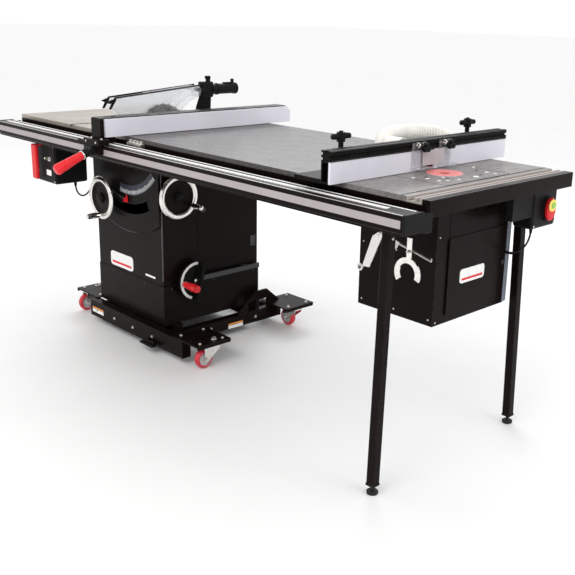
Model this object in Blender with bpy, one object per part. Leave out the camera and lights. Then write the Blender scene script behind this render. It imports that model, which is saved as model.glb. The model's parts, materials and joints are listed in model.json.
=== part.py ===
"""Table saw with a long rip-fence rail, an extension table and an in-line router wing.

Positions are measured in the saw's own working grid, in metres: x runs along the front rail from
the table's left edge, y runs back from the table's front edge, and z runs up from the floor. An
empty then carries every piece, so that the origin lies on the floor under the middle of the saw.
"""

import math

import bmesh
import bpy
from mathutils import Matrix, Vector

# Driving dimensions
TOP = 0.876  # height of the working surface
DEPTH = 0.686  # front to back of the table
WIDTH = 2.215  # left edge of the wing to the end bar
MIDDLE_X = 1.1110  # middle of the saw along the rail, in the working grid
MIDDLE_Y = 0.2682  # middle of the saw, front to back, in the working grid
GAP = 0.0005  # clearance between neighbouring pieces

WING_RIGHT = 0.305
MAIN_RIGHT = 0.813
EXTENSION_RIGHT = 1.799
ROUTER_RIGHT = 2.136
TRACK_RIGHT = 2.188

BLADE_X = 0.56  # plane of the blade, and of the tilt axis along Y at the surface
ARBOR_Y = 0.33
BLADE_RADIUS = 0.127
BLADE_RISE = 0.079  # how far the blade stands above the table at rest
ARBOR_Z = TOP + BLADE_RISE - BLADE_RADIUS

CABINET_LEFT, CABINET_RIGHT = 0.303, 0.779
CABINET_FRONT, CABINET_REAR = 0.165, 0.646
CABINET_BOTTOM = 0.100
BULGE_FRONT = 0.153
BULGE_RADIUS = 0.426  # its lower edge, from the tilt axis
SHEET = 0.003

CRANK_RADIUS = 0.331  # the elevation shaft's distance from the tilt axis
CRANK_X, CRANK_Z = 0.430, 0.572
TILT_WHEEL_Y, TILT_WHEEL_Z = 0.232, 0.620

RAIL_FRONT, RAIL_BACK = -0.110, -0.035
RAIL_LOW, RAIL_HIGH = 0.8056, 0.8545
REAR_RAIL_RIGHT = 2.080
RAIL_LEFT, RAIL_RIGHT = 0.0, 2.222

LEG_X = 2.0665
LEG_SIDE = 0.028

BOX_LEFT, BOX_RIGHT = 1.750, 2.050
BOX_FRONT, BOX_REAR = 0.250, 0.615
BOX_LOW = 0.433
ROUTER_X, ROUTER_Y = 1.985, 0.350

WHEEL_RADIUS = 0.038
CASTER_TRAIL = 0.043
# Corner name, swivel axis x and y, and the heading of the wheel from that axis in degrees
CASTERS = (
    ("front_left", 0.150, 0.218, -90.0),
    ("front_right", 1.030, 0.213, -90.0),
    ("rear_left", 0.150, 0.738, -90.0),
    ("rear_right", 0.928, 0.738, 180.0),
)

# Colour, roughness and metallic value of each finish
FINISHES = {
    "black_paint": ((0.018, 0.016, 0.016), 0.30, 0.0),
    "cast_iron": ((0.50, 0.48, 0.45), 0.35, 1.0),
    "laminate": ((0.16, 0.15, 0.15), 0.40, 0.0),
    "aluminium": ((0.72, 0.71, 0.70), 0.35, 1.0),
    "black_plastic": ((0.020, 0.020, 0.021), 0.45, 0.0),
    "red_plastic": ((0.62, 0.015, 0.02), 0.35, 0.0),
    "steel": ((0.55, 0.54, 0.52), 0.30, 1.0),
    "chrome": ((0.80, 0.78, 0.76), 0.12, 1.0),
    "face_board": ((0.74, 0.73, 0.78), 0.45, 0.0),
    "clear_plastic": ((0.85, 0.88, 0.90), 0.08, 0.0),
    "rubber": ((0.015, 0.015, 0.015), 0.70, 0.0),
    "hose_plastic": ((0.80, 0.79, 0.76), 0.50, 0.0),
    "motor_paint": ((0.05, 0.05, 0.055), 0.45, 0.0),
}

AXES = {"X": Vector((1, 0, 0)), "Y": Vector((0, 1, 0)), "Z": Vector((0, 0, 1))}


def clear_scene():
    for old in list(bpy.data.objects):
        bpy.data.objects.remove(old, do_unlink=True)


def finish(name):
    """The material of one finish, made the first time it is asked for."""
    known = bpy.data.materials.get(name)
    if known:
        return known
    colour, roughness, metallic = FINISHES[name]
    made = bpy.data.materials.new(name)
    made.use_nodes = True
    shader = made.node_tree.nodes["Principled BSDF"]
    shader.inputs["Base Color"].default_value = (*colour, 1.0)
    shader.inputs["Roughness"].default_value = roughness
    shader.inputs["Metallic"].default_value = metallic
    return made


def from_bmesh(name, shape, material, smooth):
    bmesh.ops.recalc_face_normals(shape, faces=shape.faces)
    mesh = bpy.data.meshes.new(name)
    shape.to_mesh(mesh)
    shape.free()
    mesh.materials.append(finish(material))
    if smooth:
        mesh.shade_smooth()
        mesh.set_sharp_from_angle(angle=math.radians(35))
    made = bpy.data.objects.new(name, mesh)
    bpy.context.collection.objects.link(made)
    return made


def box(name, x, y, z, material="black_paint", bevel=0.0):
    """A block between two values on each axis."""
    shape = bmesh.new()
    bmesh.ops.create_cube(shape, size=1.0)
    for corner in shape.verts:
        for axis, span in enumerate((x, y, z)):
            corner.co[axis] = span[0] if corner.co[axis] < 0 else span[1]
    if bevel:
        bmesh.ops.bevel(shape, geom=shape.edges[:], offset=bevel, segments=1, affect="EDGES")
    return from_bmesh(name, shape, material, False)


def turned(name, outline, centre, direction, material="steel", sides=24, ring=False):
    """A turned piece: outline points are (radius, distance along the axis from the centre)."""
    turn = AXES["Z"].rotation_difference(Vector(direction)).to_matrix()
    shape = bmesh.new()
    rings = []
    for radius, height in outline:
        count = sides if radius > 0 else 1
        points = []
        for step in range(count):
            angle = 2 * math.pi * step / sides
            local = Vector((radius * math.cos(angle), radius * math.sin(angle), height))
            points.append(shape.verts.new(turn @ local + Vector(centre)))
        rings.append(points)
    pairs = list(zip(rings, rings[1:]))
    if ring:
        pairs.append((rings[-1], rings[0]))
    for lower, upper in pairs:
        for step in range(sides):
            after = (step + 1) % sides
            corners = [lower[step % len(lower)], lower[after % len(lower)]]
            corners += [upper[after % len(upper)], upper[step % len(upper)]]
            shape.faces.new(list(dict.fromkeys(corners)))
    return from_bmesh(name, shape, material, True)


def rod(name, start, end, radius, material="steel", sides=24, end_radius=None):
    """A round bar between two points, straight or tapered."""
    start, end = Vector(start), Vector(end)
    far = radius if end_radius is None else end_radius
    length = (end - start).length
    outline = [(0, 0), (radius, 0), (far, length), (0, length)]
    return turned(name, outline, start, (end - start).normalized(), material, sides)


def plate(name, outline, axis, low, high, material="black_paint"):
    """A flat outline pushed along an axis. Its points are (y, z), (x, z) or (x, y)."""
    place = {
        "X": lambda u, v, w: (w, u, v),
        "Y": lambda u, v, w: (u, w, v),
        "Z": lambda u, v, w: (u, v, w),
    }[axis]
    shape = bmesh.new()
    near = [shape.verts.new(place(u, v, low)) for u, v in outline]
    far = [shape.verts.new(place(u, v, high)) for u, v in outline]
    shape.faces.new(near)
    shape.faces.new(far[::-1])
    for step in range(len(outline)):
        after = (step + 1) % len(outline)
        shape.faces.new((near[step], near[after], far[after], far[step]))
    return from_bmesh(name, shape, material, False)


def arc(centre, radius, first, last, count):
    """Points on an arc, with angles in degrees."""
    points = []
    for step in range(count + 1):
        angle = math.radians(first + (last - first) * step / count)
        points.append((centre[0] + radius * math.cos(angle), centre[1] + radius * math.sin(angle)))
    return points


def change(target, others, operation):
    """Unites the others with the target, or cuts them out of it."""
    for other in others:
        step = target.modifiers.new("step", "BOOLEAN")
        step.operation = operation
        step.solver = "EXACT"
        step.object = other
    bpy.context.view_layer.update()
    seen = target.evaluated_get(bpy.context.evaluated_depsgraph_get())
    mesh = bpy.data.meshes.new_from_object(seen)
    target.modifiers.clear()
    target.data = mesh
    for other in others:
        bpy.data.objects.remove(other, do_unlink=True)
    return target


def unite(target, *others):
    return change(target, others, "UNION")


def cut(target, *others):
    return change(target, others, "DIFFERENCE")


def turn_about(piece, point):
    """Puts a moving piece's origin on its joint's axis."""
    point = Vector(point)
    piece.data.transform(Matrix.Translation(-point))
    piece.location = point
    return piece


def smooth_path(points, count):
    """Points along a smooth curve through the given ones (Catmull-Rom)."""
    knots = [Vector(point) for point in points]
    knots = [2 * knots[0] - knots[1], *knots, 2 * knots[-1] - knots[-2]]
    spans = len(knots) - 3
    path = []
    for step in range(count):
        place = spans * step / (count - 1)
        span = min(int(place), spans - 1)
        t = place - span
        a, b, c, d = knots[span : span + 4]
        path.append(
            0.5 * (2 * b + (c - a) * t + (2 * a - 5 * b + 4 * c - d) * t**2
                   + (3 * b - a - 3 * c + d) * t**3)
        )
    return path


def flexible(name, points, radius, count, material, resolution=2):
    """A cord or hose: a round tube along a smooth path."""
    curve = bpy.data.curves.new(name, "CURVE")
    curve.dimensions = "3D"
    curve.bevel_depth = radius
    curve.bevel_resolution = resolution
    curve.use_fill_caps = True
    spline = curve.splines.new("POLY")
    path = smooth_path(points, count)
    spline.points.add(len(path) - 1)
    for knot, place in zip(spline.points, path):
        knot.co = (*place, 1.0)
    curve.materials.append(finish(material))
    made = bpy.data.objects.new(name, curve)
    bpy.context.collection.objects.link(made)
    return made


# ---------------------------------------------------------------- cabinet and mobile base


def cabinet():
    """Sheet-metal cabinet: plinth, curved front bulge with the crank's arc slot, dust port."""
    pivot = (BLADE_X, TOP)
    table_underside = TOP - 0.0385
    shell = box("cabinet_shell", (CABINET_LEFT, CABINET_RIGHT), (CABINET_FRONT, CABINET_REAR),
                (CABINET_BOTTOM, table_underside))
    plinth = box("plinth", (0.302, 0.785), (0.1625, 0.649), (CABINET_BOTTOM, 0.262))
    left, right = CABINET_LEFT + 0.0004, CABINET_RIGHT - 0.0004
    first, last = (math.degrees(math.asin((x - BLADE_X) / BULGE_RADIUS)) for x in (left, right))
    bulge_arc = arc(pivot, BULGE_RADIUS, -90 + first, -90 + last, 18)
    bulge = plate("bulge", [(right, 0.80), (left, 0.80), *bulge_arc], "Y",
                  BULGE_FRONT, CABINET_FRONT + 0.002)
    port = rod("port", (0.525, CABINET_REAR - 0.01, 0.27), (0.525, 0.692, 0.27), 0.051)
    unite(shell, plinth, bulge, port)
    inside = box("inside", (CABINET_LEFT + SHEET, CABINET_RIGHT - SHEET),
                 (CABINET_FRONT + SHEET, CABINET_REAR - SHEET), (0.104, 0.90))
    slot_outer = arc(pivot, CRANK_RADIUS + 0.020, -90 - 27, -90 + 26, 12)
    slot_inner = arc(pivot, CRANK_RADIUS - 0.020, -90 + 26, -90 - 27, 12)
    slot = plate("slot", slot_outer + slot_inner, "Y", 0.12, 0.18)
    shaft_hole = rod("shaft_hole", (0.765, TILT_WHEEL_Y, TILT_WHEEL_Z),
                     (0.790, TILT_WHEEL_Y, TILT_WHEEL_Z), 0.015)
    duct = rod("duct", (0.525, CABINET_REAR - 0.02, 0.27), (0.525, 0.71, 0.27), 0.047)
    cut(shell, inside, slot, shaft_hole, duct)


def base_frame():
    """Mobile base: front beam, side and rear channels, cross bars and four outriggers."""
    low, high = 0.028, 0.075
    left, right = 0.286, 0.965
    frame = box("base_frame", (left, right), (0.118, 0.1575), (low, 0.098))
    pieces = [
        box("side_r", (0.7865, 0.826), (0.15, 0.745), (low, high)),
        box("side_l", (left + 0.0005, 0.326), (0.15, 0.745), (low, high)),
        box("rear", (left + 0.001, 0.82), (0.705, 0.7445), (low, high)),
        box("bar_f", (0.300, 0.80), (0.20, 0.24), (0.050, CABINET_BOTTOM - GAP)),
        box("bar_r", (0.300, 0.80), (0.58, 0.62), (0.050, CABINET_BOTTOM - GAP)),
        box("post_r", (0.787, 0.8255), (0.706, 0.744), (0.07, 0.100)),
        box("post_l", (0.287, 0.3255), (0.706, 0.744), (0.07, 0.100)),
    ]
    for name, x, y in (("fl", (0.124, 0.300), (0.145, 0.275)), ("fr", (0.900, 1.062), (0.119, 0.278)),
                       ("rl", (0.102, 0.300), (0.665, 0.820)), ("rr", (0.788, 0.955), (0.665, 0.820))):
        pieces.append(box("plate_" + name, x, y, (0.0975, 0.1035)))
    gusset = [(0.50, 0.07), (0.74, 0.07), (0.74, 0.10), (0.665, 0.165), (0.60, 0.165), (0.52, 0.10)]
    pieces.append(plate("gusset", gusset, "X", 0.818, 0.8258))
    unite(frame, *pieces)
    windows = [
        box("window", (0.81, 0.83), (y, y + 0.045), (0.080, 0.125)) for y in (0.560, 0.620)
    ]
    cut(frame, *windows)
    roof = high - SHEET
    hollows = [
        box("hollow", (left + SHEET, right - SHEET), (0.121, 0.1545), (0.01, 0.095)),
        box("hollow", (0.7895, 0.8230), (0.165, 0.735), (0.01, roof)),
        box("hollow", (0.2895, 0.3230), (0.165, 0.735), (0.01, roof)),
        box("hollow", (0.332, 0.780), (0.708, 0.7415), (0.01, roof)),
        box("hollow", (0.332, 0.780), (0.203, 0.237), (0.04, CABINET_BOTTOM - GAP - SHEET)),
        box("hollow", (0.332, 0.780), (0.583, 0.617), (0.04, CABINET_BOTTOM - GAP - SHEET)),
    ]
    cut(frame, *hollows)


def caster(corner, x, y, heading):
    """A swivel fork on its own axis, and the wheel that trails from it."""
    angle = math.radians(heading)
    along = Vector((math.cos(angle), math.sin(angle), 0))
    across = Vector((-math.sin(angle), math.cos(angle), 0))
    swivel = Vector((x, y, 0))
    axle = swivel + along * CASTER_TRAIL + Vector((0, 0, WHEEL_RADIUS))
    half = 0.018

    def place(u, v, w):
        return swivel + along * u + across * v + Vector((0, 0, w))

    fork = rod("caster_fork_" + corner, place(0, 0, 0.084), place(0, 0, 0.0965), 0.024, "chrome")
    crown = bmesh.new()
    bmesh.ops.create_cube(crown, size=1.0)
    for vertex in crown.verts:
        u = -0.020 if vertex.co.x < 0 else 0.050
        v = (half + 0.003) * (-1 if vertex.co.y < 0 else 1)
        w = 0.0800 if vertex.co.z < 0 else 0.0845
        vertex.co = place(u, v, w)
    parts = [from_bmesh("crown", crown, "chrome", False)]
    outline = [(-0.020, 0.082), (0.050, 0.082), (CASTER_TRAIL + 0.011, WHEEL_RADIUS),
               (CASTER_TRAIL + 0.006, WHEEL_RADIUS - 0.010),
               (CASTER_TRAIL - 0.006, WHEEL_RADIUS - 0.010), (-0.020, 0.072)]
    for side in (-1, 1):
        cheek = bmesh.new()
        near = [cheek.verts.new(place(u, side * half, w)) for u, w in outline]
        far = [cheek.verts.new(place(u, side * (half + 0.003), w)) for u, w in outline]
        cheek.faces.new(near)
        cheek.faces.new(far[::-1])
        for step in range(len(outline)):
            after = (step + 1) % len(outline)
            cheek.faces.new((near[step], near[after], far[after], far[step]))
        parts.append(from_bmesh("cheek", cheek, "chrome", False))
    parts.append(rod("axle", axle - across * 0.026, axle + across * 0.026, 0.0050, sides=12))
    unite(fork, *parts)
    turn_about(fork, swivel)

    rim, width, bore = WHEEL_RADIUS, 0.0135, 0.0056
    outline = [(bore, -0.0155), (0.012, -0.0155), (0.012, -width), (rim - 0.004, -width),
               (rim, -width + 0.004), (rim, width - 0.004), (rim - 0.004, width),
               (0.012, width), (0.012, 0.0155), (bore, 0.0155)]
    wheel = turned("caster_wheel_" + corner, outline, axle, across, "red_plastic", 20, ring=True)
    turn_about(wheel, axle)


def foot_pedal():
    pedal = box("foot_pedal", (0.715, 0.800), (0.086, 0.110), (0.030, 0.038), bevel=0.002)
    hub = rod("hub", (0.725, 0.1085, 0.040), (0.790, 0.1085, 0.040), 0.008, sides=16)
    unite(pedal, hub)
    turn_about(pedal, (0.7575, 0.1085, 0.040))


# ---------------------------------------------------------------- tables and rails


def cast_table(name, left, right, ribs):
    """A cast plate with a deep rim and cross ribs, open underneath."""
    rim, skin = 0.018, 0.016
    table = box(name, (left, right), (0, DEPTH), (TOP - 0.038, TOP), "cast_iron")
    edges = [0.0, *ribs, DEPTH]
    pockets = []
    for front, rear in zip(edges, edges[1:]):
        pockets.append(box("pocket", (left + rim, right - rim), (front + rim, rear - rim / 2),
                           (TOP - 0.05, TOP - skin)))
    return cut(table, *pockets)


def main_table():
    table = cast_table("main_table", WING_RIGHT + GAP, MAIN_RIGHT - GAP, ())
    cuts = [box("throat", (0.5125, 0.6075), (0.15, 0.60), (TOP - 0.06, TOP + 0.01))]
    for x in (BLADE_X - 0.140, BLADE_X + 0.140):
        cuts.append(box("slot", (x - 0.0095, x + 0.0095), (-0.01, DEPTH + 0.01),
                        (TOP - 0.0095, TOP + 0.01)))
    cut(table, *cuts)


def throat_plate():
    insert = box("throat_plate", (0.513, 0.607), (0.1505, 0.5995), (TOP - 0.0045, TOP), "aluminium")
    cut(insert, box("kerf", (0.5555, 0.5680), (0.185, 0.585), (TOP - 0.02, TOP + 0.01)))


def extension_table():
    """Laminated top with hard edging and two stiffeners."""
    low = TOP - 0.028
    top = box("extension_table", (MAIN_RIGHT, EXTENSION_RIGHT), (0, DEPTH), (low, TOP), "laminate")
    beams = []
    for y in (0.02, 0.646):
        beams.append(box("beam", (MAIN_RIGHT + 0.04, EXTENSION_RIGHT - 0.01), (y, y + 0.02),
                         (low - 0.05, low + 0.002)))
    unite(top, *beams)


def router_top():
    """Router table board, with a stepped hole for the reducing rings."""
    low = TOP - 0.028
    board = box("router_top", (EXTENSION_RIGHT + GAP, ROUTER_RIGHT), (0, DEPTH), (low, TOP),
                "laminate")
    centre = (ROUTER_X, ROUTER_Y)
    cut(board,
        rod("through", (*centre, low - 0.01), (*centre, TOP + 0.01), 0.040, sides=32),
        rod("step", (*centre, TOP - 0.0045), (*centre, TOP + 0.01), 0.0495, sides=32))


def combo_track():
    """Aluminium strip with a mitre slot and a narrower T-slot, running front to back."""
    strip = box("combo_track", (ROUTER_RIGHT + GAP, TRACK_RIGHT), (0, DEPTH),
                (TOP - 0.018, TOP), "aluminium")
    ends = (-0.01, DEPTH + 0.01)
    cut(strip,
        box("mitre_slot", (2.1425, 2.1615), ends, (TOP - 0.0095, TOP + 0.01)),
        box("t_mouth", (2.1715, 2.1795), ends, (TOP - 0.0095, TOP + 0.01)))


def rails():
    """Front tube on its angle, the rear angle and the bar across the right end."""
    front = box("front_rail", (RAIL_LEFT, RAIL_RIGHT), (RAIL_FRONT, RAIL_BACK),
                (RAIL_LOW, RAIL_HIGH), bevel=0.003)
    shelf = box("shelf", (0.01, 2.212), (-0.105, -0.0006), (0.7996, RAIL_LOW + 0.0005))
    upright = box("upright", (0.01, 2.212), (-0.0056, -0.0006), (0.8001, 0.862))
    unite(front, shelf, upright)
    cut(front, box("hollow", (RAIL_LEFT - 0.01, RAIL_RIGHT - 0.004),
                   (RAIL_FRONT + 0.003, RAIL_BACK - 0.003), (RAIL_LOW + 0.003, RAIL_HIGH - 0.003)))
    rear = box("rear_rail", (0.02, REAR_RAIL_RIGHT), (DEPTH + 0.0006, DEPTH + 0.0056), (0.80, 0.862))
    unite(rear, box("flange", (0.02, REAR_RAIL_RIGHT), (DEPTH + 0.0006, DEPTH + 0.060), (0.795, 0.801)))
    end = box("end_rail", (TRACK_RIGHT + GAP, WIDTH), (0, DEPTH), (0.832, TOP))
    unite(end, box("ledge", (ROUTER_RIGHT + GAP, WIDTH - 0.002), (0.002, DEPTH - 0.002),
                   (0.834, 0.840)))


def leg(name, foot_name, front, top, lean):
    """Splayed square leg with a threaded levelling foot in its lower end."""
    centre = (LEG_X + LEG_SIDE / 2, front + LEG_SIDE / 2)
    post = box(name, (LEG_X, LEG_X + LEG_SIDE), (front, front + LEG_SIDE), (0.026, top), bevel=0.002)
    for vertex in post.data.vertices:
        vertex.co.y += lean * (vertex.co.z - 0.026) / (top - 0.026)
    pad = box("pad", (LEG_X - 0.012, LEG_X + LEG_SIDE + 0.012),
              (front + lean + 0.002, front + lean + LEG_SIDE - 0.002), (top - 0.004, top))
    unite(post, pad)
    cut(post, rod("thread", (*centre, 0.02), (*centre, 0.080), 0.0055, sides=16))
    outline = [(0, 0), (0.0165, 0), (0.0172, 0.003), (0.0172, 0.008), (0.013, 0.0105),
               (0.005, 0.0105), (0.005, 0.060), (0, 0.060)]
    foot = turned(foot_name, outline, (*centre, 0), (0, 0, 1), "rubber")
    turn_about(foot, (*centre, 0))


def router_box():
    """Dust box under the router, open at the top and with a door in its right wall."""
    wall = 0.003
    case = box("router_box", (BOX_LEFT, BOX_RIGHT), (BOX_FRONT, BOX_REAR), (BOX_LOW, TOP - 0.0285))
    port = rod("port", (1.90, BOX_REAR - 0.005, 0.56), (1.90, 0.650, 0.56), 0.034)
    unite(case, port)
    cut(case,
        box("inside", (BOX_LEFT + wall, BOX_RIGHT - wall), (BOX_FRONT + wall, BOX_REAR - wall),
            (BOX_LOW + wall, TOP)),
        box("doorway", (2.04, 2.06), (0.325, 0.590), (0.470, 0.680)),
        rod("duct", (1.90, BOX_REAR - 0.02, 0.56), (1.90, 0.66, 0.56), 0.031))
    door = box("box_door", (BOX_RIGHT + 0.0005, BOX_RIGHT + 0.0030), (0.310, 0.603),
               (0.455, 0.695))
    hinge = rod("hinge", (2.0535, 0.309, 0.46), (2.0535, 0.309, 0.69), 0.0028, sides=12)
    latch = rod("latch", (2.052, 0.588, 0.575), (2.0555, 0.588, 0.575), 0.007, sides=16)
    unite(door, hinge, latch)
    turn_about(door, (2.0535, 0.309, 0.575))


# ---------------------------------------------------------------- tilting and lifting gear


def beside(x, z):
    """A point in the XZ plane, measured from the tilt axis."""
    return (BLADE_X + x, TOP + z)


def trunnion():
    """Cradle that hangs from the tilt axis: two yokes and the web between them."""
    yoke = [(-0.09, -0.04), (-0.01, -0.04), (0.05, -0.10), (0.05, -0.20), (-0.10, -0.335),
            (-0.16, -0.335), (-0.16, -0.25), (-0.09, -0.12)]
    outline = [beside(x, z) for x, z in yoke]
    cradle = plate("trunnion", outline, "Y", 0.188, 0.199, "motor_paint")
    rear = plate("rear", outline, "Y", 0.602, 0.613, "motor_paint")
    web = box("web", (0.600, 0.610), (0.190, 0.610), (TOP - 0.195, TOP - 0.095), "motor_paint")
    unite(cradle, rear, web)
    cut(cradle, rod("bearing", (CRANK_X, 0.18, CRANK_Z), (CRANK_X, 0.21, CRANK_Z), 0.0116))
    turn_about(cradle, (BLADE_X, 0.40, TOP))


MOTOR_Y, MOTOR_Z = 0.50, 0.676


def arbor_carriage():
    """Lifting slide that carries the arbor's bearings, the motor and the spreader's clamp."""
    slide = box("arbor_carriage", (0.528, 0.540), (0.28, 0.56), (0.60, 0.80), "motor_paint")
    parts = [
        rod("housing", (0.503, ARBOR_Y, ARBOR_Z), (0.5405, ARBOR_Y, ARBOR_Z), 0.030),
        box("foot", (0.4605, 0.4665), (0.42, 0.58), (0.600, 0.760)),
        box("arm", (0.463, 0.530), (0.545, 0.559), (0.601, 0.640)),
        box("clamp", (0.539, 0.5582), (0.505, 0.555), (0.735, 0.775)),
    ]
    unite(slide, *parts)
    cut(slide,
        rod("bore", (0.49, ARBOR_Y, ARBOR_Z), (0.55, ARBOR_Y, ARBOR_Z), 0.0125),
        rod("eye", (0.45, MOTOR_Y, MOTOR_Z), (0.475, MOTOR_Y, MOTOR_Z), 0.014))


def motor():
    """Totally enclosed motor, its axis parallel to the arbor, with its pulley on the shaft."""
    outline = [(0, 0), (0.055, 0), (0.060, 0.012), (0.072, 0.014), (0.072, 0.135), (0.060, 0.137),
               (0.052, 0.149), (0, 0.149)]
    turned("motor", outline, (0.311, MOTOR_Y, MOTOR_Z), (1, 0, 0), "motor_paint", 20)
    outline = [(0, 0), (0.010, 0), (0.010, 0.0165), (0.030, 0.0165), (0.030, 0.0385), (0, 0.0385)]
    pulley = turned("motor_pulley", outline, (0.4605, MOTOR_Y, MOTOR_Z), (1, 0, 0), "steel")
    turn_about(pulley, (0.488, MOTOR_Y, MOTOR_Z))


def arbor_and_blade():
    """Arbor with its pulley, inner flange, outer flange and nut, and the blade between them."""
    outline = [(0, 0), (0.023, 0), (0.023, 0.0225), (0.012, 0.0225), (0.012, 0.0635),
               (0.028, 0.0635), (0.028, 0.0798), (0.0078, 0.0798), (0.0078, 0.0835),
               (0.028, 0.0835), (0.028, 0.0900), (0.014, 0.0910), (0.014, 0.0995), (0, 0.0995)]
    arbor = turned("arbor", outline, (0.4785, ARBOR_Y, ARBOR_Z), (1, 0, 0), "steel", 16)
    turn_about(arbor, (BLADE_X, ARBOR_Y, ARBOR_Z))
    teeth, gullet, half = 24, 0.007, 0.0013
    rim = []
    for tooth in range(teeth):
        for offset, radius in ((0.0, BLADE_RADIUS), (0.35, BLADE_RADIUS - 0.003),
                               (0.60, BLADE_RADIUS - gullet)):
            angle = 2 * math.pi * (tooth + offset) / teeth
            rim.append((ARBOR_Y + radius * math.cos(angle), ARBOR_Z + radius * math.sin(angle)))
    blade = plate("saw_blade", rim, "X", BLADE_X - half, BLADE_X + half, "steel")
    cut(blade, rod("bore", (0.55, ARBOR_Y, ARBOR_Z), (0.57, ARBOR_Y, ARBOR_Z), 0.0082))
    turn_about(blade, (BLADE_X, ARBOR_Y, ARBOR_Z))


def belt_outline(small, large):
    """The loop of a belt round the arbor's pulley and the motor's, as (y, z) points."""
    run = Vector((MOTOR_Y - ARBOR_Y, MOTOR_Z - ARBOR_Z))
    heading = math.degrees(math.atan2(run.y, run.x))
    wrap = math.degrees(math.acos((small - large) / run.length))
    near = arc((ARBOR_Y, ARBOR_Z), small, heading + wrap, heading + 360 - wrap, 12)
    far = arc((MOTOR_Y, MOTOR_Z), large, heading - wrap, heading + wrap, 12)
    return near + far


def drive_belt():
    belt = plate("drive_belt", belt_outline(0.0275, 0.0345), "X", 0.4795, 0.4975, "rubber")
    cut(belt, plate("inner", belt_outline(0.0235, 0.0305), "X", 0.47, 0.51))


def guard():
    """Spreader blade with the guard's rear block and dust duct, and the clear pivoting shell."""
    fin = [(0.470, 0.730), (0.560, 0.730), (0.575, 0.975), (0.515, 0.975), (0.497, 0.930),
           (0.480, 0.850)]
    spreader = plate("guard_spreader", fin, "X", BLADE_X - 0.0013, BLADE_X + 0.0013, "black_plastic")
    block = box("block", (0.544, 0.576), (0.518, 0.578), (0.968, 1.032), "black_plastic", 0.004)
    duct = rod("duct", (BLADE_X, 0.572, 1.000), (BLADE_X, 0.705, 1.000), 0.022, "black_plastic")
    knob = rod("knob", (BLADE_X, 0.560, 1.030), (BLADE_X, 0.560, 1.055), 0.010, "black_plastic", 12)
    unite(spreader, block, duct, knob)
    cut(spreader, rod("bore", (BLADE_X, 0.60, 1.000), (BLADE_X, 0.71, 1.000), 0.019))

    profile = [(0.085, 0.985), (0.080, 0.955), (0.130, 0.907), (0.380, 0.907), (0.440, 0.955),
               (0.495, 0.982), (0.505, 0.995), (0.505, 1.008), (0.492, 1.020), (0.470, 1.020)]
    shell = plate("guard_shell", profile, "X", 0.534, 0.586, "clear_plastic")
    inner = [(0.02, 0.982), (0.02, 0.85), (0.60, 0.85), (0.60, 1.017), (0.470, 1.017)]
    cut(shell, plate("inner", inner, "X", 0.537, 0.583))
    turn_about(shell, (BLADE_X, 0.515, 1.000))


def handwheel(name, handle_name, centre, face, spoke, shaft):
    """A dished handwheel with its shaft, and the crank handle that spins on its rim.

    face points out of the cabinet, spoke points from the hub to the handle."""
    face, spoke, centre = Vector(face), Vector(spoke).normalized(), Vector(centre)
    outline = [(0, -shaft), (0.011, -shaft), (0.011, -0.014), (0.021, -0.014), (0.024, -0.006),
               (0.074, -0.006), (0.086, -0.008), (0.089, -0.003), (0.089, 0.004), (0.085, 0.008),
               (0.077, 0.008), (0.073, 0.000), (0.026, 0.000), (0.021, 0.011), (0, 0.013)]
    wheel = turned(name, outline, centre, face, "chrome", 24)
    turn_about(wheel, centre)
    root = centre + spoke * 0.070 + face * 0.0090
    outline = [(0, 0), (0.0075, 0), (0.0085, 0.004), (0.0120, 0.020), (0.0125, 0.045),
               (0.0100, 0.060), (0.0050, 0.064), (0, 0.064)]
    handle = turned(handle_name, outline, root, face, "chrome", 16)
    turn_about(handle, root)


# ---------------------------------------------------------------- fences and gauges


def rip_fence():
    """T-square fence: box beam, head over the rail, right face board and locking lever."""
    beam = box("fence_beam", (0.745, 0.8060), (-0.090, 0.775), (TOP + 0.0015, 0.944))
    low = RAIL_HIGH + 0.001
    cap = box("cap", (0.7452, 0.8125), (-0.100, -0.0850), (low, 0.944), bevel=0.004)
    shoe = box("shoe", (0.7454, 0.8050), (-0.095, -0.040), (low, TOP + 0.003))
    saddle = box("saddle", (0.7456, 0.845), (-0.131, -0.0855), (low, 0.874), bevel=0.003)
    jaw = box("jaw", (0.7458, 0.8445), (-0.1315, -0.1115), (0.822, 0.8735))
    unite(beam, cap, shoe, saddle, jaw)
    cut(beam, box("hollow", (0.7475, 0.8035), (-0.080, 0.780), (TOP + 0.004, 0.9415)))
    board = box("fence_face", (0.8065, 0.8200), (-0.084, 0.790), (TOP + 0.002, 0.941), "face_board")
    cut(board, box("end", (0.80, 0.83), (0.776, 0.80), (0.93, 0.95)))
    lever = rod("fence_lever", (0.810, -0.148, 0.8345), (0.810, -0.272, 0.7815), 0.0125,
                "red_plastic", 20, 0.0195)
    hub = rod("hub", (0.790, -0.1465, 0.836), (0.830, -0.1465, 0.836), 0.0125, "red_plastic", 16)
    tip = turned("tip", [(0, 0), (0.0195, 0), (0.0150, 0.007), (0, 0.009)], (0.810, -0.2718, 0.7816),
                 (0, -0.9195, -0.3930), "red_plastic", 20)
    unite(lever, hub, tip)
    turn_about(lever, (0.810, -0.1465, 0.836))


FENCE_FRONT, FENCE_REAR = -0.062, 0.752


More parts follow.
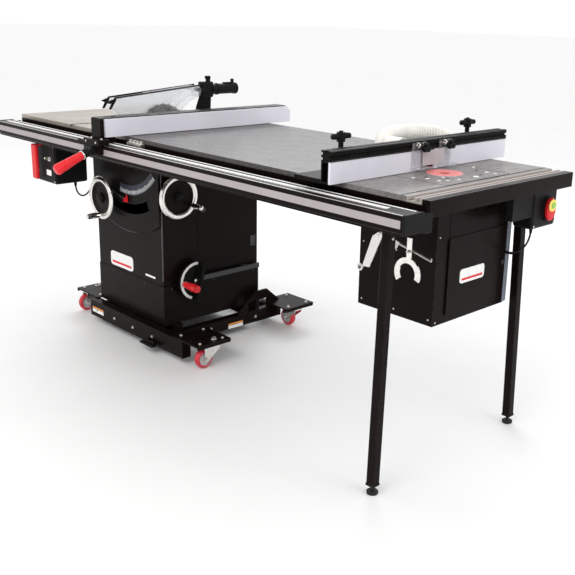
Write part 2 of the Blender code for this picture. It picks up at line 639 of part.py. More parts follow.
def router_fence():
    """Two-face router fence on an L extrusion, with its feet, dust port and clamping knobs."""
    ends = (FENCE_FRONT, FENCE_REAR)
    back, lip = 1.884, 1.921
    beam = box("router_fence", (back, lip), ends, (0.938, 0.968), "black_plastic")
    parts = [
        box("web", (back, 1.912), (FENCE_FRONT, 0.318), (0.8775, 0.940), "black_plastic"),
        box("web", (back, 1.912), (0.382, FENCE_REAR), (0.8775, 0.940), "black_plastic"),
        box("foot", (1.777, back + 0.002), (FENCE_FRONT, 0.290), (0.8768, 0.888), "black_plastic"),
        box("foot", (1.777, back + 0.002), (0.410, 0.690), (0.8768, 0.888), "black_plastic"),
        rod("port", (1.886, 0.350, 0.925), (1.800, 0.350, 0.925), 0.0290, "black_plastic"),
        box("cheek", (1.878, 1.892), (0.314, 0.386), (0.8930, 0.944), "black_plastic"),
    ]
    unite(beam, *parts)
    whole = (FENCE_FRONT - 0.01, FENCE_REAR + 0.01)
    cut(beam,
        box("hollow", (back + 0.0035, 1.9085), whole, (0.8810, 0.9345)),
        box("t_slot", (lip - 0.006, 1.93), whole, (0.9500, 0.9565)),
        box("t_slot_back", (1.86, back + 0.0055), whole, (0.9415, 0.9480)),
        box("t_slot_back", (1.86, back + 0.0055), whole, (0.9555, 0.9620)),
        box("t_slot_top", (1.899, 1.906), whole, (0.962, 0.98)),
        rod("duct", (1.900, 0.350, 0.925), (1.790, 0.350, 0.925), 0.0260))
    for name, y in (("front", (FENCE_FRONT, 0.320)), ("rear", (0.380, FENCE_REAR))):
        box("router_face_" + name, (1.9125, 1.9200), y, (0.8775, 0.9375), "face_board")
    for name, y in (("front", 0.062), ("rear", 0.652)):
        post = rod("fence_knob_" + name, (1.835, y, 0.8885), (1.835, y, 0.985), 0.0075,
                   "black_plastic", 16)
        grip = box("grip", (1.8265, 1.8435), (y - 0.037, y + 0.037), (0.9820, 0.9965),
                   "black_plastic", 0.004)
        unite(post, grip, rod("boss", (1.835, y, 0.974), (1.835, y, 1.001), 0.0125, "black_plastic"))
        turn_about(post, (1.835, y, 0.95))


def mitre_gauge():
    """Mitre gauge stored against the cabinet's right wall: bar, and the head on its pivot."""
    pivot = (0.300, 0.272)
    bar = box("mitre_bar", (0.7925, 0.8020), (0.230, 0.640), (0.2625, 0.2815), "steel")
    unite(bar, box("hook", (0.7795, 0.7930), (0.560, 0.590), (0.2630, 0.2810)))
    head_arc = arc(pivot, 0.080, 78, 256, 16)
    head = plate("mitre_head", head_arc, "X", 0.8025, 0.8150, "aluminium")
    start, end = head_arc[0], head_arc[-1]
    along = (Vector(end) - Vector(start)).normalized()
    square = Vector((-along.y, along.x)) * 0.012
    face = [start, end, tuple(Vector(end) + square), tuple(Vector(start) + square)]
    grip = rod("grip", (0.812, 0.240, 0.268), (0.902, 0.240, 0.268), 0.0100, "red_plastic", 20, 0.0155)
    unite(head, plate("face", face, "X", 0.8026, 0.8450, "aluminium"), grip)
    turn_about(head, (0.8087, *pivot))


def tool_storage():
    """Rod under the router wing with the open-ended spanner that hangs from it."""
    start, end = Vector((1.962, 0.112, 0.7225)), Vector((2.142, 0.112, 0.6825))
    hook_x = 2.073
    hook_z = start.z + (end.z - start.z) * (hook_x - start.x) / (end.x - start.x)
    bracket = box("tool_bracket", (1.958, 1.970), (0.104, 0.120), (0.718, TOP - 0.0285))
    unite(bracket, rod("arm", start, end, 0.0035, sides=12),
          rod("hook", (hook_x, 0.090, hook_z), (hook_x, 0.114, hook_z), 0.0035, sides=12))
    centre = (2.070, 0.634)
    jaw = arc(centre, 0.0455, -22, 216, 16) + arc(centre, 0.0295, 216, -22, 12)
    spanner = plate("hanging_spanner", jaw, "Y", 0.0975, 0.1025, "chrome")
    shank = box("shank", (2.066, 2.080), (0.0975, 0.1025), (0.665, 0.736), "chrome")
    unite(spanner, shank)
    cut(spanner, rod("hole", (hook_x, 0.09, hook_z), (hook_x, 0.11, hook_z), 0.0046, sides=16))
    turn_about(spanner, (hook_x, 0.100, hook_z))


# ---------------------------------------------------------------- switches, leads and hose


def switches():
    case = box("left_switch_box", (0.235, 0.385), (-0.060, 0.080), (0.637, 0.797),
               "black_plastic", 0.006)
    cut(case, rod("hinge_well", (0.243, -0.063, 0.785), (0.285, -0.063, 0.785), 0.007, sides=16))
    paddle = box("power_paddle", (0.246, 0.282), (-0.090, -0.074), (0.648, 0.788), "red_plastic",
                 0.004)
    unite(paddle, rod("hinge", (0.248, -0.063, 0.785), (0.280, -0.063, 0.785), 0.0055, sides=16),
          box("lug", (0.250, 0.278), (-0.078, -0.063), (0.7805, 0.7875)))
    turn_about(paddle, (0.264, -0.063, 0.785))

    case = box("right_switch_box", (2.105, 2.176), (0.545, 0.675), (0.708, 0.8315),
               "black_plastic", 0.006)
    unite(case, box("bracket", (2.150, 2.172), (0.442, 0.556), (0.748, 0.8312)))
    stem_axis = (0.622, 0.765)
    cut(case, rod("well", (2.155, *stem_axis), (2.19, *stem_axis), 0.0085, sides=16))
    button = turned("router_paddle", [(0, 0), (0.034, 0), (0.036, 0.003), (0.036, 0.009),
                                      (0.032, 0.013), (0, 0.014)], (2.1815, *stem_axis), (1, 0, 0),
                    "red_plastic", 20)
    middle = Vector((0, stem_axis[0], 0))
    narrow = Matrix.Diagonal((1, 0.62, 1, 1))
    button.data.transform(Matrix.Translation(middle) @ narrow @ Matrix.Translation(-middle))
    unite(button, rod("stem", (2.164, *stem_axis), (2.183, *stem_axis), 0.0070, sides=16))
    turn_about(button, (2.1815, *stem_axis))


SWITCH_LEAD = (
    (0.335, 0.050, 0.6365), (0.335, 0.050, 0.616), (0.3335, 0.054, 0.596), (0.328, 0.065, 0.579),
    (0.318, 0.082, 0.567), (0.306, 0.102, 0.562), (0.2935, 0.122, 0.5645), (0.2815, 0.141, 0.5735),
    (0.271, 0.1575, 0.588), (0.262, 0.172, 0.606), (0.2555, 0.184, 0.626), (0.252, 0.193, 0.646),
    (0.251, 0.200, 0.664), (0.2545, 0.205, 0.681), (0.263, 0.208, 0.694), (0.274, 0.2095, 0.700),
    (0.2840, 0.210, 0.702),
)
ROUTER_LEAD = (
    (2.140, 0.600, 0.7075), (2.140, 0.600, 0.692), (2.1385, 0.6004, 0.676), (2.134, 0.6012, 0.660),
    (2.127, 0.6024, 0.645), (2.117, 0.6040, 0.632), (2.105, 0.6060, 0.621), (2.092, 0.6080, 0.6125),
    (2.079, 0.6098, 0.607), (2.066, 0.6108, 0.6035), (2.0505, 0.611, 0.602),
)
DUST_HOSE = (
    (1.7700, 0.350, 0.925), (1.746, 0.3535, 0.927), (1.722, 0.374, 0.931), (1.692, 0.411, 0.935),
    (1.669, 0.460, 0.938), (1.656, 0.514, 0.939), (1.656, 0.570, 0.938), (1.669, 0.626, 0.935),
    (1.695, 0.678, 0.926), (1.731, 0.721, 0.904), (1.771, 0.754, 0.865), (1.809, 0.775, 0.812),
    (1.842, 0.786, 0.748), (1.868, 0.786, 0.682), (1.886, 0.771, 0.620), (1.896, 0.736, 0.577),
    (1.900, 0.694, 0.562), (1.900, 0.6510, 0.560),
)


def leads_and_hose():
    flexible("switch_lead", SWITCH_LEAD, 0.0035, 26, "rubber")
    flexible("router_lead", ROUTER_LEAD, 0.0030, 26, "rubber")
    flexible("dust_hose", DUST_HOSE, 0.0310, 24, "hose_plastic", 3)


def router_unit():
    """Router motor on its lift, with the collet that turns in it."""
    centre = (ROUTER_X, ROUTER_Y)
    outline = [(0, 0), (0.040, 0), (0.044, 0.006), (0.044, 0.150), (0.030, 0.175), (0.011, 0.190),
               (0.011, 0.160), (0, 0.160)]
    turned("router_motor", outline, (*centre, 0.600), (0, 0, 1), "motor_paint", 20)
    outline = [(0, 0), (0.0085, 0), (0.0085, 0.070), (0.013, 0.072), (0.013, 0.092), (0.006, 0.096),
               (0.006, 0.099), (0, 0.099)]
    collet = turned("router_collet", outline, (*centre, 0.7605), (0, 0, 1), "steel", 20)
    turn_about(collet, (*centre, 0.80))


def build():
    clear_scene()
    cabinet()
    base_frame()
    for corner, x, y, heading in CASTERS:
        caster(corner, x, y, heading)
    foot_pedal()
    cast_table("left_wing", 0.0, WING_RIGHT, (0.235, 0.46))
    main_table()
    throat_plate()
    extension_table()
    router_top()
    combo_track()
    rails()
    leg("leg_front", "foot_front", -0.0305, 0.7991, 0.021)
    leg("leg_rear", "foot_rear", 0.6465, TOP - 0.0285, -0.036)
    router_box()
    trunnion()
    arbor_carriage()
    motor()
    arbor_and_blade()
    drive_belt()
    guard()
    handwheel("elevation_wheel", "elevation_handle", (CRANK_X, 0.110, CRANK_Z), (0, -1, 0),
              (0.03, 0, -1), 0.185)
    handwheel("tilt_wheel", "tilt_handle", (0.800, TILT_WHEEL_Y, TILT_WHEEL_Z), (1, 0, 0),
              (0, 0.82, -0.57), 0.110)
    rip_fence()
    router_fence()
    mitre_gauge()
    tool_storage()
    switches()
    leads_and_hose()
    router_unit()

    middle = bpy.data.objects.new("saw", None)
    bpy.context.collection.objects.link(middle)
    middle.location = (-MIDDLE_X, -MIDDLE_Y, 0)
    for piece in bpy.data.objects:
        if piece is not middle:
            piece.parent = middle


build()
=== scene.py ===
import json
import math

import bmesh
import bpy
from mathutils import Matrix, Vector


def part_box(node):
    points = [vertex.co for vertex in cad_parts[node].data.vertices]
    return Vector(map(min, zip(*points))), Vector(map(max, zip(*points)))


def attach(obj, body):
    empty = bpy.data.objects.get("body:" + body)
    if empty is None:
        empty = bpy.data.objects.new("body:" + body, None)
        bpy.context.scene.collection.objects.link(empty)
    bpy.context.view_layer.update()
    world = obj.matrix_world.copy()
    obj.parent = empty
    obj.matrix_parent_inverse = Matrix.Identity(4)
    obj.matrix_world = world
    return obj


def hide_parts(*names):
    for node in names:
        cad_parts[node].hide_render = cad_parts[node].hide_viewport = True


# Looks of the table saw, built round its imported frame.
#
# Lengths are metres in the saw's own grid: x runs along the front rail from the table's left
# edge, y runs back from the table's front edge, and z runs up from the floor. at() turns a
# place in that grid into one in the row frame.

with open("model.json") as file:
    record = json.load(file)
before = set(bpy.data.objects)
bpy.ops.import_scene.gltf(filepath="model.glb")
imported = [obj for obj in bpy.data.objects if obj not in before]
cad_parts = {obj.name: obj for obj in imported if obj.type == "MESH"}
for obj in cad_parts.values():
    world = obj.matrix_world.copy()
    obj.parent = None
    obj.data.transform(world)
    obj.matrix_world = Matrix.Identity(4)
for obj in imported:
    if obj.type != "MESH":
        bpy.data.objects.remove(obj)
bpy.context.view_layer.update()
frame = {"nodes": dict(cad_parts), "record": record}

wing_low, wing_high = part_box("left_wing")
GRID = Vector((wing_low[0], wing_low[1], 0.0))
TOP = wing_high[2]
DEPTH = wing_high[1] - wing_low[1]
LEFT, RIGHT = (-1, 0, 0), (1, 0, 0)
FRONT, BACK = (0, -1, 0), (0, 1, 0)
DOWN, UP = (0, 0, -1), (0, 0, 1)


def at(x, y, z):
    return GRID + Vector((x, y, z))


def span(node):
    """A node's extent on each axis, in the saw's grid."""
    low, high = (Vector(corner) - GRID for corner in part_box(node))
    return tuple((low[axis], high[axis]) for axis in range(3))


def new_object(name, data):
    made = bpy.data.objects.new(name, data)
    bpy.context.collection.objects.link(made)
    return made


# ------------ camera

IMAGE = 575
FOCAL = 865.2  # in picture widths of IMAGE
AXIS_ACROSS, AXIS_DOWN = 325.5, 263.1  # where the optical axis meets the picture
EYE = at(3.536, -1.68, 1.321)
YAW, PITCH, ROLL = (math.radians(angle) for angle in (45.12, 16.13, 1.546))


def place_camera():
    ahead = Vector((-math.sin(YAW) * math.cos(PITCH), math.cos(YAW) * math.cos(PITCH),
            -math.sin(PITCH)))
    level = Vector((math.cos(YAW), math.sin(YAW), 0))
    above = level.cross(ahead)
    right = math.cos(ROLL) * level + math.sin(ROLL) * above
    up = math.cos(ROLL) * above - math.sin(ROLL) * level
    lens = bpy.data.cameras.new("camera")
    lens.sensor_width = 36.0
    lens.lens = FOCAL / IMAGE * lens.sensor_width
    lens.shift_x = 0.5 - AXIS_ACROSS / IMAGE
    lens.shift_y = AXIS_DOWN / IMAGE - 0.5
    lens.clip_end = 100
    camera = new_object("camera", lens)
    turn = Matrix((right, up, -ahead)).transposed().to_4x4()
    camera.matrix_world = Matrix.Translation(EYE) @ turn
    bpy.context.scene.camera = camera


place_camera()


# ------------ materials


class Look:
    """A node tree whose Principled shader is fed by patterns in the object's own metres."""

    def __init__(self, name, metallic=0.0, **sockets):
        self.material = bpy.data.materials.new(name)
        self.material.use_nodes = True
        self.tree = self.material.node_tree
        self.shader = self.tree.nodes["Principled BSDF"]
        self.shader.inputs["Metallic"].default_value = metallic
        for socket, value in sockets.items():
            self.shader.inputs[socket.replace("_", " ")].default_value = value
        self.place = self.node("ShaderNodeTexCoord").outputs["Object"]

    def node(self, kind, inputs=None, **settings):
        made = self.tree.nodes.new(kind)
        for name, value in settings.items():
            setattr(made, name, value)
        for name, value in (inputs or {}).items():
            if isinstance(value, bpy.types.NodeSocket):
                self.tree.links.new(value, made.inputs[name])
            else:
                made.inputs[name].default_value = value
        return made

    def feed(self, socket, value):
        self.tree.links.new(value, self.shader.inputs[socket])
        return self

    def noise(self, scale, detail=4.0, stretch=(1, 1, 1), roughness=0.55):
        mapped = self.node("ShaderNodeMapping", {"Vector": self.place, "Scale": stretch})
        made = self.node("ShaderNodeTexNoise", {"Vector": mapped.outputs[0], "Scale": scale,
                "Detail": detail, "Roughness": roughness})
        return made.outputs[0]

    def ranged(self, value, low, high, start=0.3, end=0.7):
        made = self.node("ShaderNodeMapRange", {"Value": value, "From Min": start, "From Max": end,
                "To Min": low, "To Max": high})
        return made.outputs[0]

    def mix(self, share, first, second):
        made = self.node("ShaderNodeMix", data_type="RGBA")
        for socket, value in ((made.inputs[0], share), (made.inputs[6], first),
                              (made.inputs[7], second)):
            if isinstance(value, bpy.types.NodeSocket):
                self.tree.links.new(value, socket)
            else:
                socket.default_value = (*value, 1.0) if isinstance(value, tuple) else value
        return made.outputs[2]

    def math(self, operation, first, second):
        made = self.node("ShaderNodeMath", {0: first, 1: second}, operation=operation)
        return made.outputs[0]

    def edges(self, reach):
        """Near 1 along sharp edges and 0 on flats."""
        rounded = self.node("ShaderNodeBevel", {"Radius": reach}, samples=4).outputs[0]
        flat = self.node("ShaderNodeNewGeometry").outputs["Normal"]
        made = self.node("ShaderNodeVectorMath", {0: rounded, 1: flat}, operation="DOT_PRODUCT")
        return self.ranged(made.outputs["Value"], 1.0, 0.0, 0.8, 0.985)

    def bump(self, height, strength, distance=0.0005):
        made = self.node("ShaderNodeBump", {"Height": height, "Strength": strength,
                "Distance": distance})
        return self.feed("Normal", made.outputs[0])


def shade(colour, by):
    return tuple(min(1.0, channel * by) for channel in colour)


def blend_of(name, colour, roughness, patch=7.0, vary=0.25, grain=500.0, relief=0.15,
             stretch=(1, 1, 1), uneven=0.08, wear=None, worn=0.5, specular=0.5, **sockets):
    """The general finish: patchy colour, uneven gloss, fine relief and, if asked, worn edges."""
    look = Look(name, Specular_IOR_Level=specular, **sockets)
    patches = look.ranged(look.noise(patch, 6.0, stretch), 0.0, 1.0)
    tint = look.mix(patches, shade(colour, 1 - vary), shade(colour, 1 + vary))
    if wear:
        mask = look.math("MULTIPLY", look.edges(0.0016), look.ranged(look.noise(34.0, 8.0), 0.0, worn,
                0.42, 0.6))
        tint = look.mix(mask, tint, wear)
    look.feed("Base Color", tint)
    smudges = look.noise(patch * 3.1, 8.0, stretch, 0.65)
    look.feed("Roughness", look.ranged(smudges, roughness - uneven, roughness + uneven))
    look.bump(look.noise(grain, 3.0, stretch), relief)
    return look.material


def laminate(name, light):
    """Mottled grey laminate with fine dark and pale flecks; light scales its brightness."""
    look = Look(name, Specular_IOR_Level=0.3)
    mottle = look.ranged(look.noise(60.0, 5.0), 0.0, 1.0, 0.38, 0.62)
    tint = look.mix(mottle, shade((0.171, 0.158, 0.152), light), shade((0.248, 0.231, 0.223), light))
    pale = look.ranged(look.noise(900.0, 2.0), 0.0, 0.45, 0.6, 0.72)
    dark = look.ranged(look.noise(700.0, 2.0, (1.3, 0.8, 1)), 0.0, 0.55, 0.6, 0.7)
    tint = look.mix(dark, look.mix(pale, tint, shade((0.5, 0.49, 0.49), light)), (0.035, 0.035, 0.038))
    look.feed("Base Color", tint)
    look.feed("Roughness", look.ranged(look.noise(16.0, 7.0), 0.26, 0.4))
    look.bump(look.noise(1300.0, 2.0), 0.1)
    return look.material


def cast_iron():
    """Ground cast iron: long faint grinding marks, slightly oily patches, tiny pits."""
    look = Look("cast_iron", 0.92)
    marks = look.noise(90.0, 7.0, (0.06, 3.2, 1))
    patches = look.noise(5.0, 6.0)
    tint = look.mix(look.ranged(patches, 0.0, 1.0), (0.31, 0.268, 0.22), (0.43, 0.388, 0.335))
    tint = look.mix(look.ranged(marks, 0.0, 0.45), tint, (0.54, 0.495, 0.44))
    pits = look.ranged(look.noise(420.0, 2.0), 0.0, 0.6, 0.7, 0.78)
    look.feed("Base Color", look.mix(pits, tint, (0.12, 0.1, 0.08)))
    look.feed("Roughness", look.ranged(look.noise(11.0, 8.0, (0.5, 1.5, 1)), 0.26, 0.44))
    look.bump(marks, 0.22, 0.0003)
    return look.material


def brushed(name, colour, roughness, stretch):
    look = Look(name, 1.0)
    lines = look.noise(160.0, 6.0, stretch)
    tint = look.mix(look.ranged(lines, 0.0, 1.0), shade(colour, 0.86), shade(colour, 1.1))
    look.feed("Base Color", tint)
    look.feed("Roughness", look.ranged(look.noise(40.0, 7.0, stretch), roughness - 0.07,
            roughness + 0.09))
    look.bump(lines, 0.18, 0.0002)
    return look.material


def clear_plastic():
    look = Look("clear_plastic", IOR=1.46, Transmission_Weight=0.92, Alpha=0.62)
    scuffs = look.noise(240.0, 8.0, (0.4, 1, 2.5), 0.7)
    look.feed("Base Color", look.mix(look.ranged(scuffs, 0.0, 1.0), (0.9, 0.92, 0.94),
            (0.8, 0.82, 0.85)))
    look.feed("Roughness", look.ranged(scuffs, 0.04, 0.26, 0.45, 0.75))
    return look.material


PAINT = blend_of("cabinet_paint", (0.007, 0.0043, 0.0038), 0.28, patch=3.0, vary=0.3, grain=260.0,
        relief=0.05, uneven=0.06, wear=(0.14, 0.12, 0.11), worn=0.4, specular=0.06)
SATIN = blend_of("motor_paint", (0.04, 0.04, 0.044), 0.42, grain=700.0, relief=0.25,
        wear=(0.22, 0.21, 0.2), specular=0.3)
BLACK = blend_of("black_plastic", (0.006, 0.006, 0.0065), 0.42, grain=1500.0, relief=0.35,
        wear=(0.06, 0.06, 0.065), specular=0.1)
ANODISED = blend_of("black_anodised", (0.0055, 0.0053, 0.0046), 0.42, grain=900.0, relief=0.12,
        stretch=(1, 0.05, 1), wear=(0.16, 0.15, 0.14), worn=0.3, specular=0.06)
TRACK = blend_of("track_aluminium", (0.4, 0.355, 0.335), 0.46, patch=9.0, vary=0.1, grain=900.0,
        stretch=(1, 0.05, 1), specular=0.2)
# A paint much lighter than the cabinet's, for painted highlights along the cabinet's front-right corner
# and along the bulge's lower edge.
HIGHLIGHT_PAINT = blend_of("painted_highlight", (0.075, 0.072, 0.075), 0.22, patch=12.0, vary=0.35, specular=0.3)
RED = blend_of("red_plastic", (0.66, 0.01, 0.016), 0.3, vary=0.14, grain=900.0, relief=0.1,
        wear=(0.8, 0.16, 0.16), specular=0.35)
TREAD = blend_of("wheel_tread", (0.56, 0.022, 0.04), 0.4, patch=40.0, vary=0.22, grain=600.0,
        relief=0.25)
PINK = blend_of("ring_plastic", (0.84, 0.25, 0.25), 0.4, patch=30.0, vary=0.1, relief=0.08,
        specular=0.3)
FACE = blend_of("face_board", (0.7, 0.69, 0.76), 0.38, patch=5.0, vary=0.05, grain=800.0, relief=0.06,
        wear=(0.56, 0.55, 0.58), worn=0.3, specular=0.3)
FROSTED = blend_of("frosted_plastic", (0.62, 0.58, 0.59), 0.36, patch=30.0, vary=0.06, relief=0.05,
        Alpha=0.62, specular=0.3)
WHITE = blend_of("white_marking", (0.86, 0.86, 0.85), 0.45, patch=30.0, vary=0.08)
# Painted reflection: a pale colour for the band along the black rail's front face, standing in for the
# bright surroundings reflected in its gloss.
REFLECTION_BAND = blend_of("rail_painted_reflection", (0.36, 0.32, 0.33), 0.45, patch=8.0, vary=0.06)
YELLOW = blend_of("yellow_plastic", (0.88, 0.66, 0.12), 0.35, patch=60.0, vary=0.1)
ORANGE = blend_of("orange_marking", (0.85, 0.3, 0.05), 0.45, patch=30.0, vary=0.08)
GREEN = blend_of("green_plastic", (0.25, 0.52, 0.1), 0.35, patch=60.0, vary=0.1)
# Near-black for painted shade in gaps, seams, slots and holes, and also for dark lines at the board
# ends and the printed mitre ticks.
GAP_SHADE_AND_DARK_LINES = blend_of("painted_gap_shade_and_dark_lines", (0.006, 0.006, 0.006), 0.7, vary=0.2, specular=0.1)
SLATE = blend_of("scale_plate", (0.032, 0.036, 0.055), 0.38, patch=40.0, vary=0.15, specular=0.25)
# Blue-grey for the box's rear flange: a painted sheen on the near-black box.
FLANGE_SHEEN = blend_of("flange_painted_sheen", (0.2, 0.22, 0.27), 0.4, patch=12.0, vary=0.12)
HUB = blend_of("hub_plastic", (0.44, 0.43, 0.43), 0.42, patch=60.0, vary=0.1, relief=0.2)
RUBBER = blend_of("rubber", (0.012, 0.012, 0.012), 0.62, patch=30.0, grain=1200.0, relief=0.35,
        specular=0.3)
HOSE = blend_of("hose_plastic", (0.78, 0.76, 0.72), 0.42, patch=20.0, vary=0.07, relief=0.15,
        Subsurface_Weight=0.15, Subsurface_Radius=(0.01, 0.008, 0.006))
LAMINATE = laminate("laminate", 1.0)
# The same laminate made darker for the extension table: a shaded copy, which is painted shade.
SHADED_LAMINATE = laminate("extension_laminate_painted_shade", 0.42)
IRON = cast_iron()
ALUMINIUM = brushed("aluminium", (0.73, 0.72, 0.71), 0.3, (2.5, 0.05, 2.5))
STEEL = brushed("steel", (0.55, 0.54, 0.52), 0.28, (1, 1, 1))
CHROME = brushed("chrome", (0.8, 0.77, 0.74), 0.14, (0.6, 0.6, 0.6))
ZINC = brushed("zinc", (0.66, 0.64, 0.6), 0.36, (1, 1, 1))
CLEAR = clear_plastic()

SLOT_LOOKS = {
    "cabinet_paint": PAINT, "cast_iron": IRON, "laminate": LAMINATE, "aluminium": ALUMINIUM,
    "black_plastic": BLACK, "red_plastic": RED, "steel": STEEL, "chrome": CHROME,
    "face_board": FACE, "clear_plastic": CLEAR, "rubber": RUBBER, "hose_plastic": HOSE,
    "motor_paint": SATIN, "wheel_tread": TREAD,
}


NODE_LOOKS = {
    "router_fence": ANODISED, "mitre_head": ANODISED, "extension_table": SHADED_LAMINATE,
    "combo_track": TRACK,
}


def round_edges(piece, width, segments, sharper_than):
    rounding = piece.modifiers.new("rounding", "BEVEL")
    rounding.width = width
    rounding.segments = segments
    rounding.limit_method = "ANGLE"
    rounding.angle_limit = math.radians(sharper_than)


def dress_cad():
    """Every CAD node gets its finish, and a hairline rounding on its sharp edges."""
    for part in frame["record"]["subparts"]:
        node = frame["nodes"][part["node"]]
        node.data.materials.clear()
        node.data.materials.append(NODE_LOOKS.get(part["node"], SLOT_LOOKS[part["material_slot"]]))
        round_edges(node, 0.0006, 2, 40)


dress_cad()


# ------------ shapes


def round_profile(centre, radius, first, last, count):
    points = []
    for step in range(count + 1):
        angle = math.radians(first + (last - first) * step / count)
        points.append((centre[0] + radius * math.cos(angle), centre[1] + radius * math.sin(angle)))
    return points


def rounded_plate(across, along, radius, count=6):
    """Outline of a rectangle with round corners."""
    (left, right), (low, high) = across, along
    corners = ((right - radius, high - radius, 0), (left + radius, high - radius, 90),
            (left + radius, low + radius, 180), (right - radius, low + radius, 270))
    points = []
    for u, v, angle in corners:
        points += round_profile((u, v), radius, angle, angle + 90, count)
    return points


def oval(centre, half_across, half_up, count=40):
    points = []
    for step in range(count):
        angle = 2 * math.pi * step / count
        points.append((centre[0] + half_across * math.cos(angle),
                centre[1] + half_up * math.sin(angle)))
    return points


class Shape:
    """A mesh in the making, in the saw's grid. Each call adds a closed solid and returns it."""

    def __init__(self):
        self.mesh = bmesh.new()

    def block(self, x, y, z, bevel=0.0):
        part = bmesh.new()
        bmesh.ops.create_cube(part, size=1.0)
        for corner in part.verts:
            for axis, ends in enumerate((x, y, z)):
                corner.co[axis] = ends[0] if corner.co[axis] < 0 else ends[1]
        if bevel:
            bmesh.ops.bevel(part, geom=part.edges[:], offset=bevel, segments=3, affect="EDGES")
        return self.take(part)

    def take(self, part):
        known = bpy.data.meshes.new("part")
        part.to_mesh(known)
        part.free()
        self.mesh.from_mesh(known)
        bpy.data.meshes.remove(known)
        return self

    def turned(self, outline, centre, direction, sides=40, ring=False):
        """Outline points are (radius, distance along the axis from the centre)."""
        turn = Vector(UP).rotation_difference(Vector(direction)).to_matrix()
        loops = []
        for radius, height in outline:
            count = sides if radius > 0 else 1
            loop = []
            for step in range(count):
                angle = 2 * math.pi * step / sides
                local = Vector((radius * math.cos(angle), radius * math.sin(angle), height))
                loop.append(self.mesh.verts.new(turn @ local + Vector(centre)))
            loops.append(loop)
        pairs = list(zip(loops, loops[1:]))
        if ring:
            pairs.append((loops[-1], loops[0]))
        for lower, upper in pairs:
            for step in range(sides):
                after = (step + 1) % sides
                corners = [lower[step % len(lower)], lower[after % len(lower)]]
                corners += [upper[after % len(upper)], upper[step % len(upper)]]
                self.mesh.faces.new(list(dict.fromkeys(corners)))
        return self

    def rod(self, start, end, radius, sides=24, end_radius=None):
        start, end = Vector(start), Vector(end)
        far = radius if end_radius is None else end_radius
        length = (end - start).length
        lip = min(0.12 * radius, 0.1 * length)
        outline = [(0, 0), (radius - lip, 0), (radius, lip), (far, length - lip), (far - lip, length),
                (0, length)]
        return self.turned(outline, start, (end - start).normalized(), sides)

    def tube(self, start, end, outer, inner, sides=32):
        start, end = Vector(start), Vector(end)
        length = (end - start).length
        outline = [(inner, 0), (outer, 0), (outer, length), (inner, length)]
        return self.turned(outline, start, (end - start).normalized(), sides, ring=True)

    def plate(self, outline, axis, low, high):
        """A flat outline pushed along an axis. Its points are (y, z), (x, z) or (x, y)."""
        place = {
            "X": lambda u, v, w: (w, u, v),
            "Y": lambda u, v, w: (u, w, v),
            "Z": lambda u, v, w: (u, v, w),
        }[axis]
        near = [self.mesh.verts.new(place(u, v, low)) for u, v in outline]
        far = [self.mesh.verts.new(place(u, v, high)) for u, v in outline]
        self.mesh.faces.new(near)
        self.mesh.faces.new(far[::-1])
        for step in range(len(outline)):
            after = (step + 1) % len(outline)
            self.mesh.faces.new((near[step], near[after], far[after], far[step]))
        return self

    def sector(self, centre, inner, outer, first, last, count, axis, low, high):
        outline = round_profile(centre, outer, first, last, count)
        outline += round_profile(centre, inner, last, first, count)
        return self.plate(outline, axis, low, high)

    def panel(self, across, along, radius, axis, low, high):
        return self.plate(rounded_plate(across, along, radius), axis, low, high)

    def band(self, outer, inner, axis, low, high):
        """A closed strip between two outlines with as many points each."""
        for step in range(len(outer)):
            after = (step + 1) % len(outer)
            self.plate([outer[step], outer[after], inner[after], inner[step]], axis, low, high)
        return self

    def frame(self, across, along, radius, line, axis, low, high):
        """A closed line of even width round a rectangle with round corners."""
        outer = rounded_plate(across, along, radius)
        inner = rounded_plate((across[0] + line, across[1] - line), (along[0] + line, along[1] - line),
                radius - line)
        return self.band(outer, inner, axis, low, high)

    def hexagon(self, centre, direction, radius, height):
        """A hex bolt head on its washer."""
        self.turned([(0, 0), (radius * 1.45, 0), (radius * 1.5, 0.0006), (radius * 1.45, 0.0014),
                (0, 0.0014)], centre, direction, 24)
        return self.turned([(0, 0.0014), (radius, 0.0014), (radius, height - 0.0008),
                (radius * 0.86, height), (0, height)], centre, direction, 6)

    def screw(self, centre, direction, radius=0.0035):
        """A domed screw head with a hex socket."""
        outline = [(0, 0), (radius, 0), (radius * 0.97, radius * 0.35), (radius * 0.75, radius * 0.62),
                (radius * 0.45, radius * 0.7), (radius * 0.4, radius * 0.25), (0, radius * 0.2)]
        return self.turned(outline, centre, direction, 20)


USUAL_SLOTS = {look: slot for slot, look in SLOT_LOOKS.items()} | {
    SATIN: "steel", ZINC: "steel", WHITE: "aluminium", REFLECTION_BAND: "aluminium", SLATE: "aluminium",
    HIGHLIGHT_PAINT: "cabinet_paint", FLANGE_SHEEN: "cabinet_paint", GAP_SHADE_AND_DARK_LINES: "black_plastic", PINK: "red_plastic",
    YELLOW: "red_plastic", GREEN: "red_plastic", FROSTED: "clear_plastic", HUB: "wheel_tread",
}


def make(name, shape, look, body="frame", slot=None, smooth=38, bevel=0.0):
    """Turns a shape into a piece that rides on a body."""
    slot = slot or USUAL_SLOTS[look]
    bmesh.ops.recalc_face_normals(shape.mesh, faces=shape.mesh.faces)
    bmesh.ops.translate(shape.mesh, vec=GRID, verts=shape.mesh.verts)
    mesh = bpy.data.meshes.new(name)
    shape.mesh.to_mesh(mesh)
    shape.mesh.free()
    mesh.materials.append(look)
    mesh.shade_smooth()
    mesh.set_sharp_from_angle(angle=math.radians(smooth))
    made = new_object(name, mesh)
    if bevel:
        round_edges(made, bevel, 3, 35)
    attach(made, body)
    return made


# ------------ leads and hose

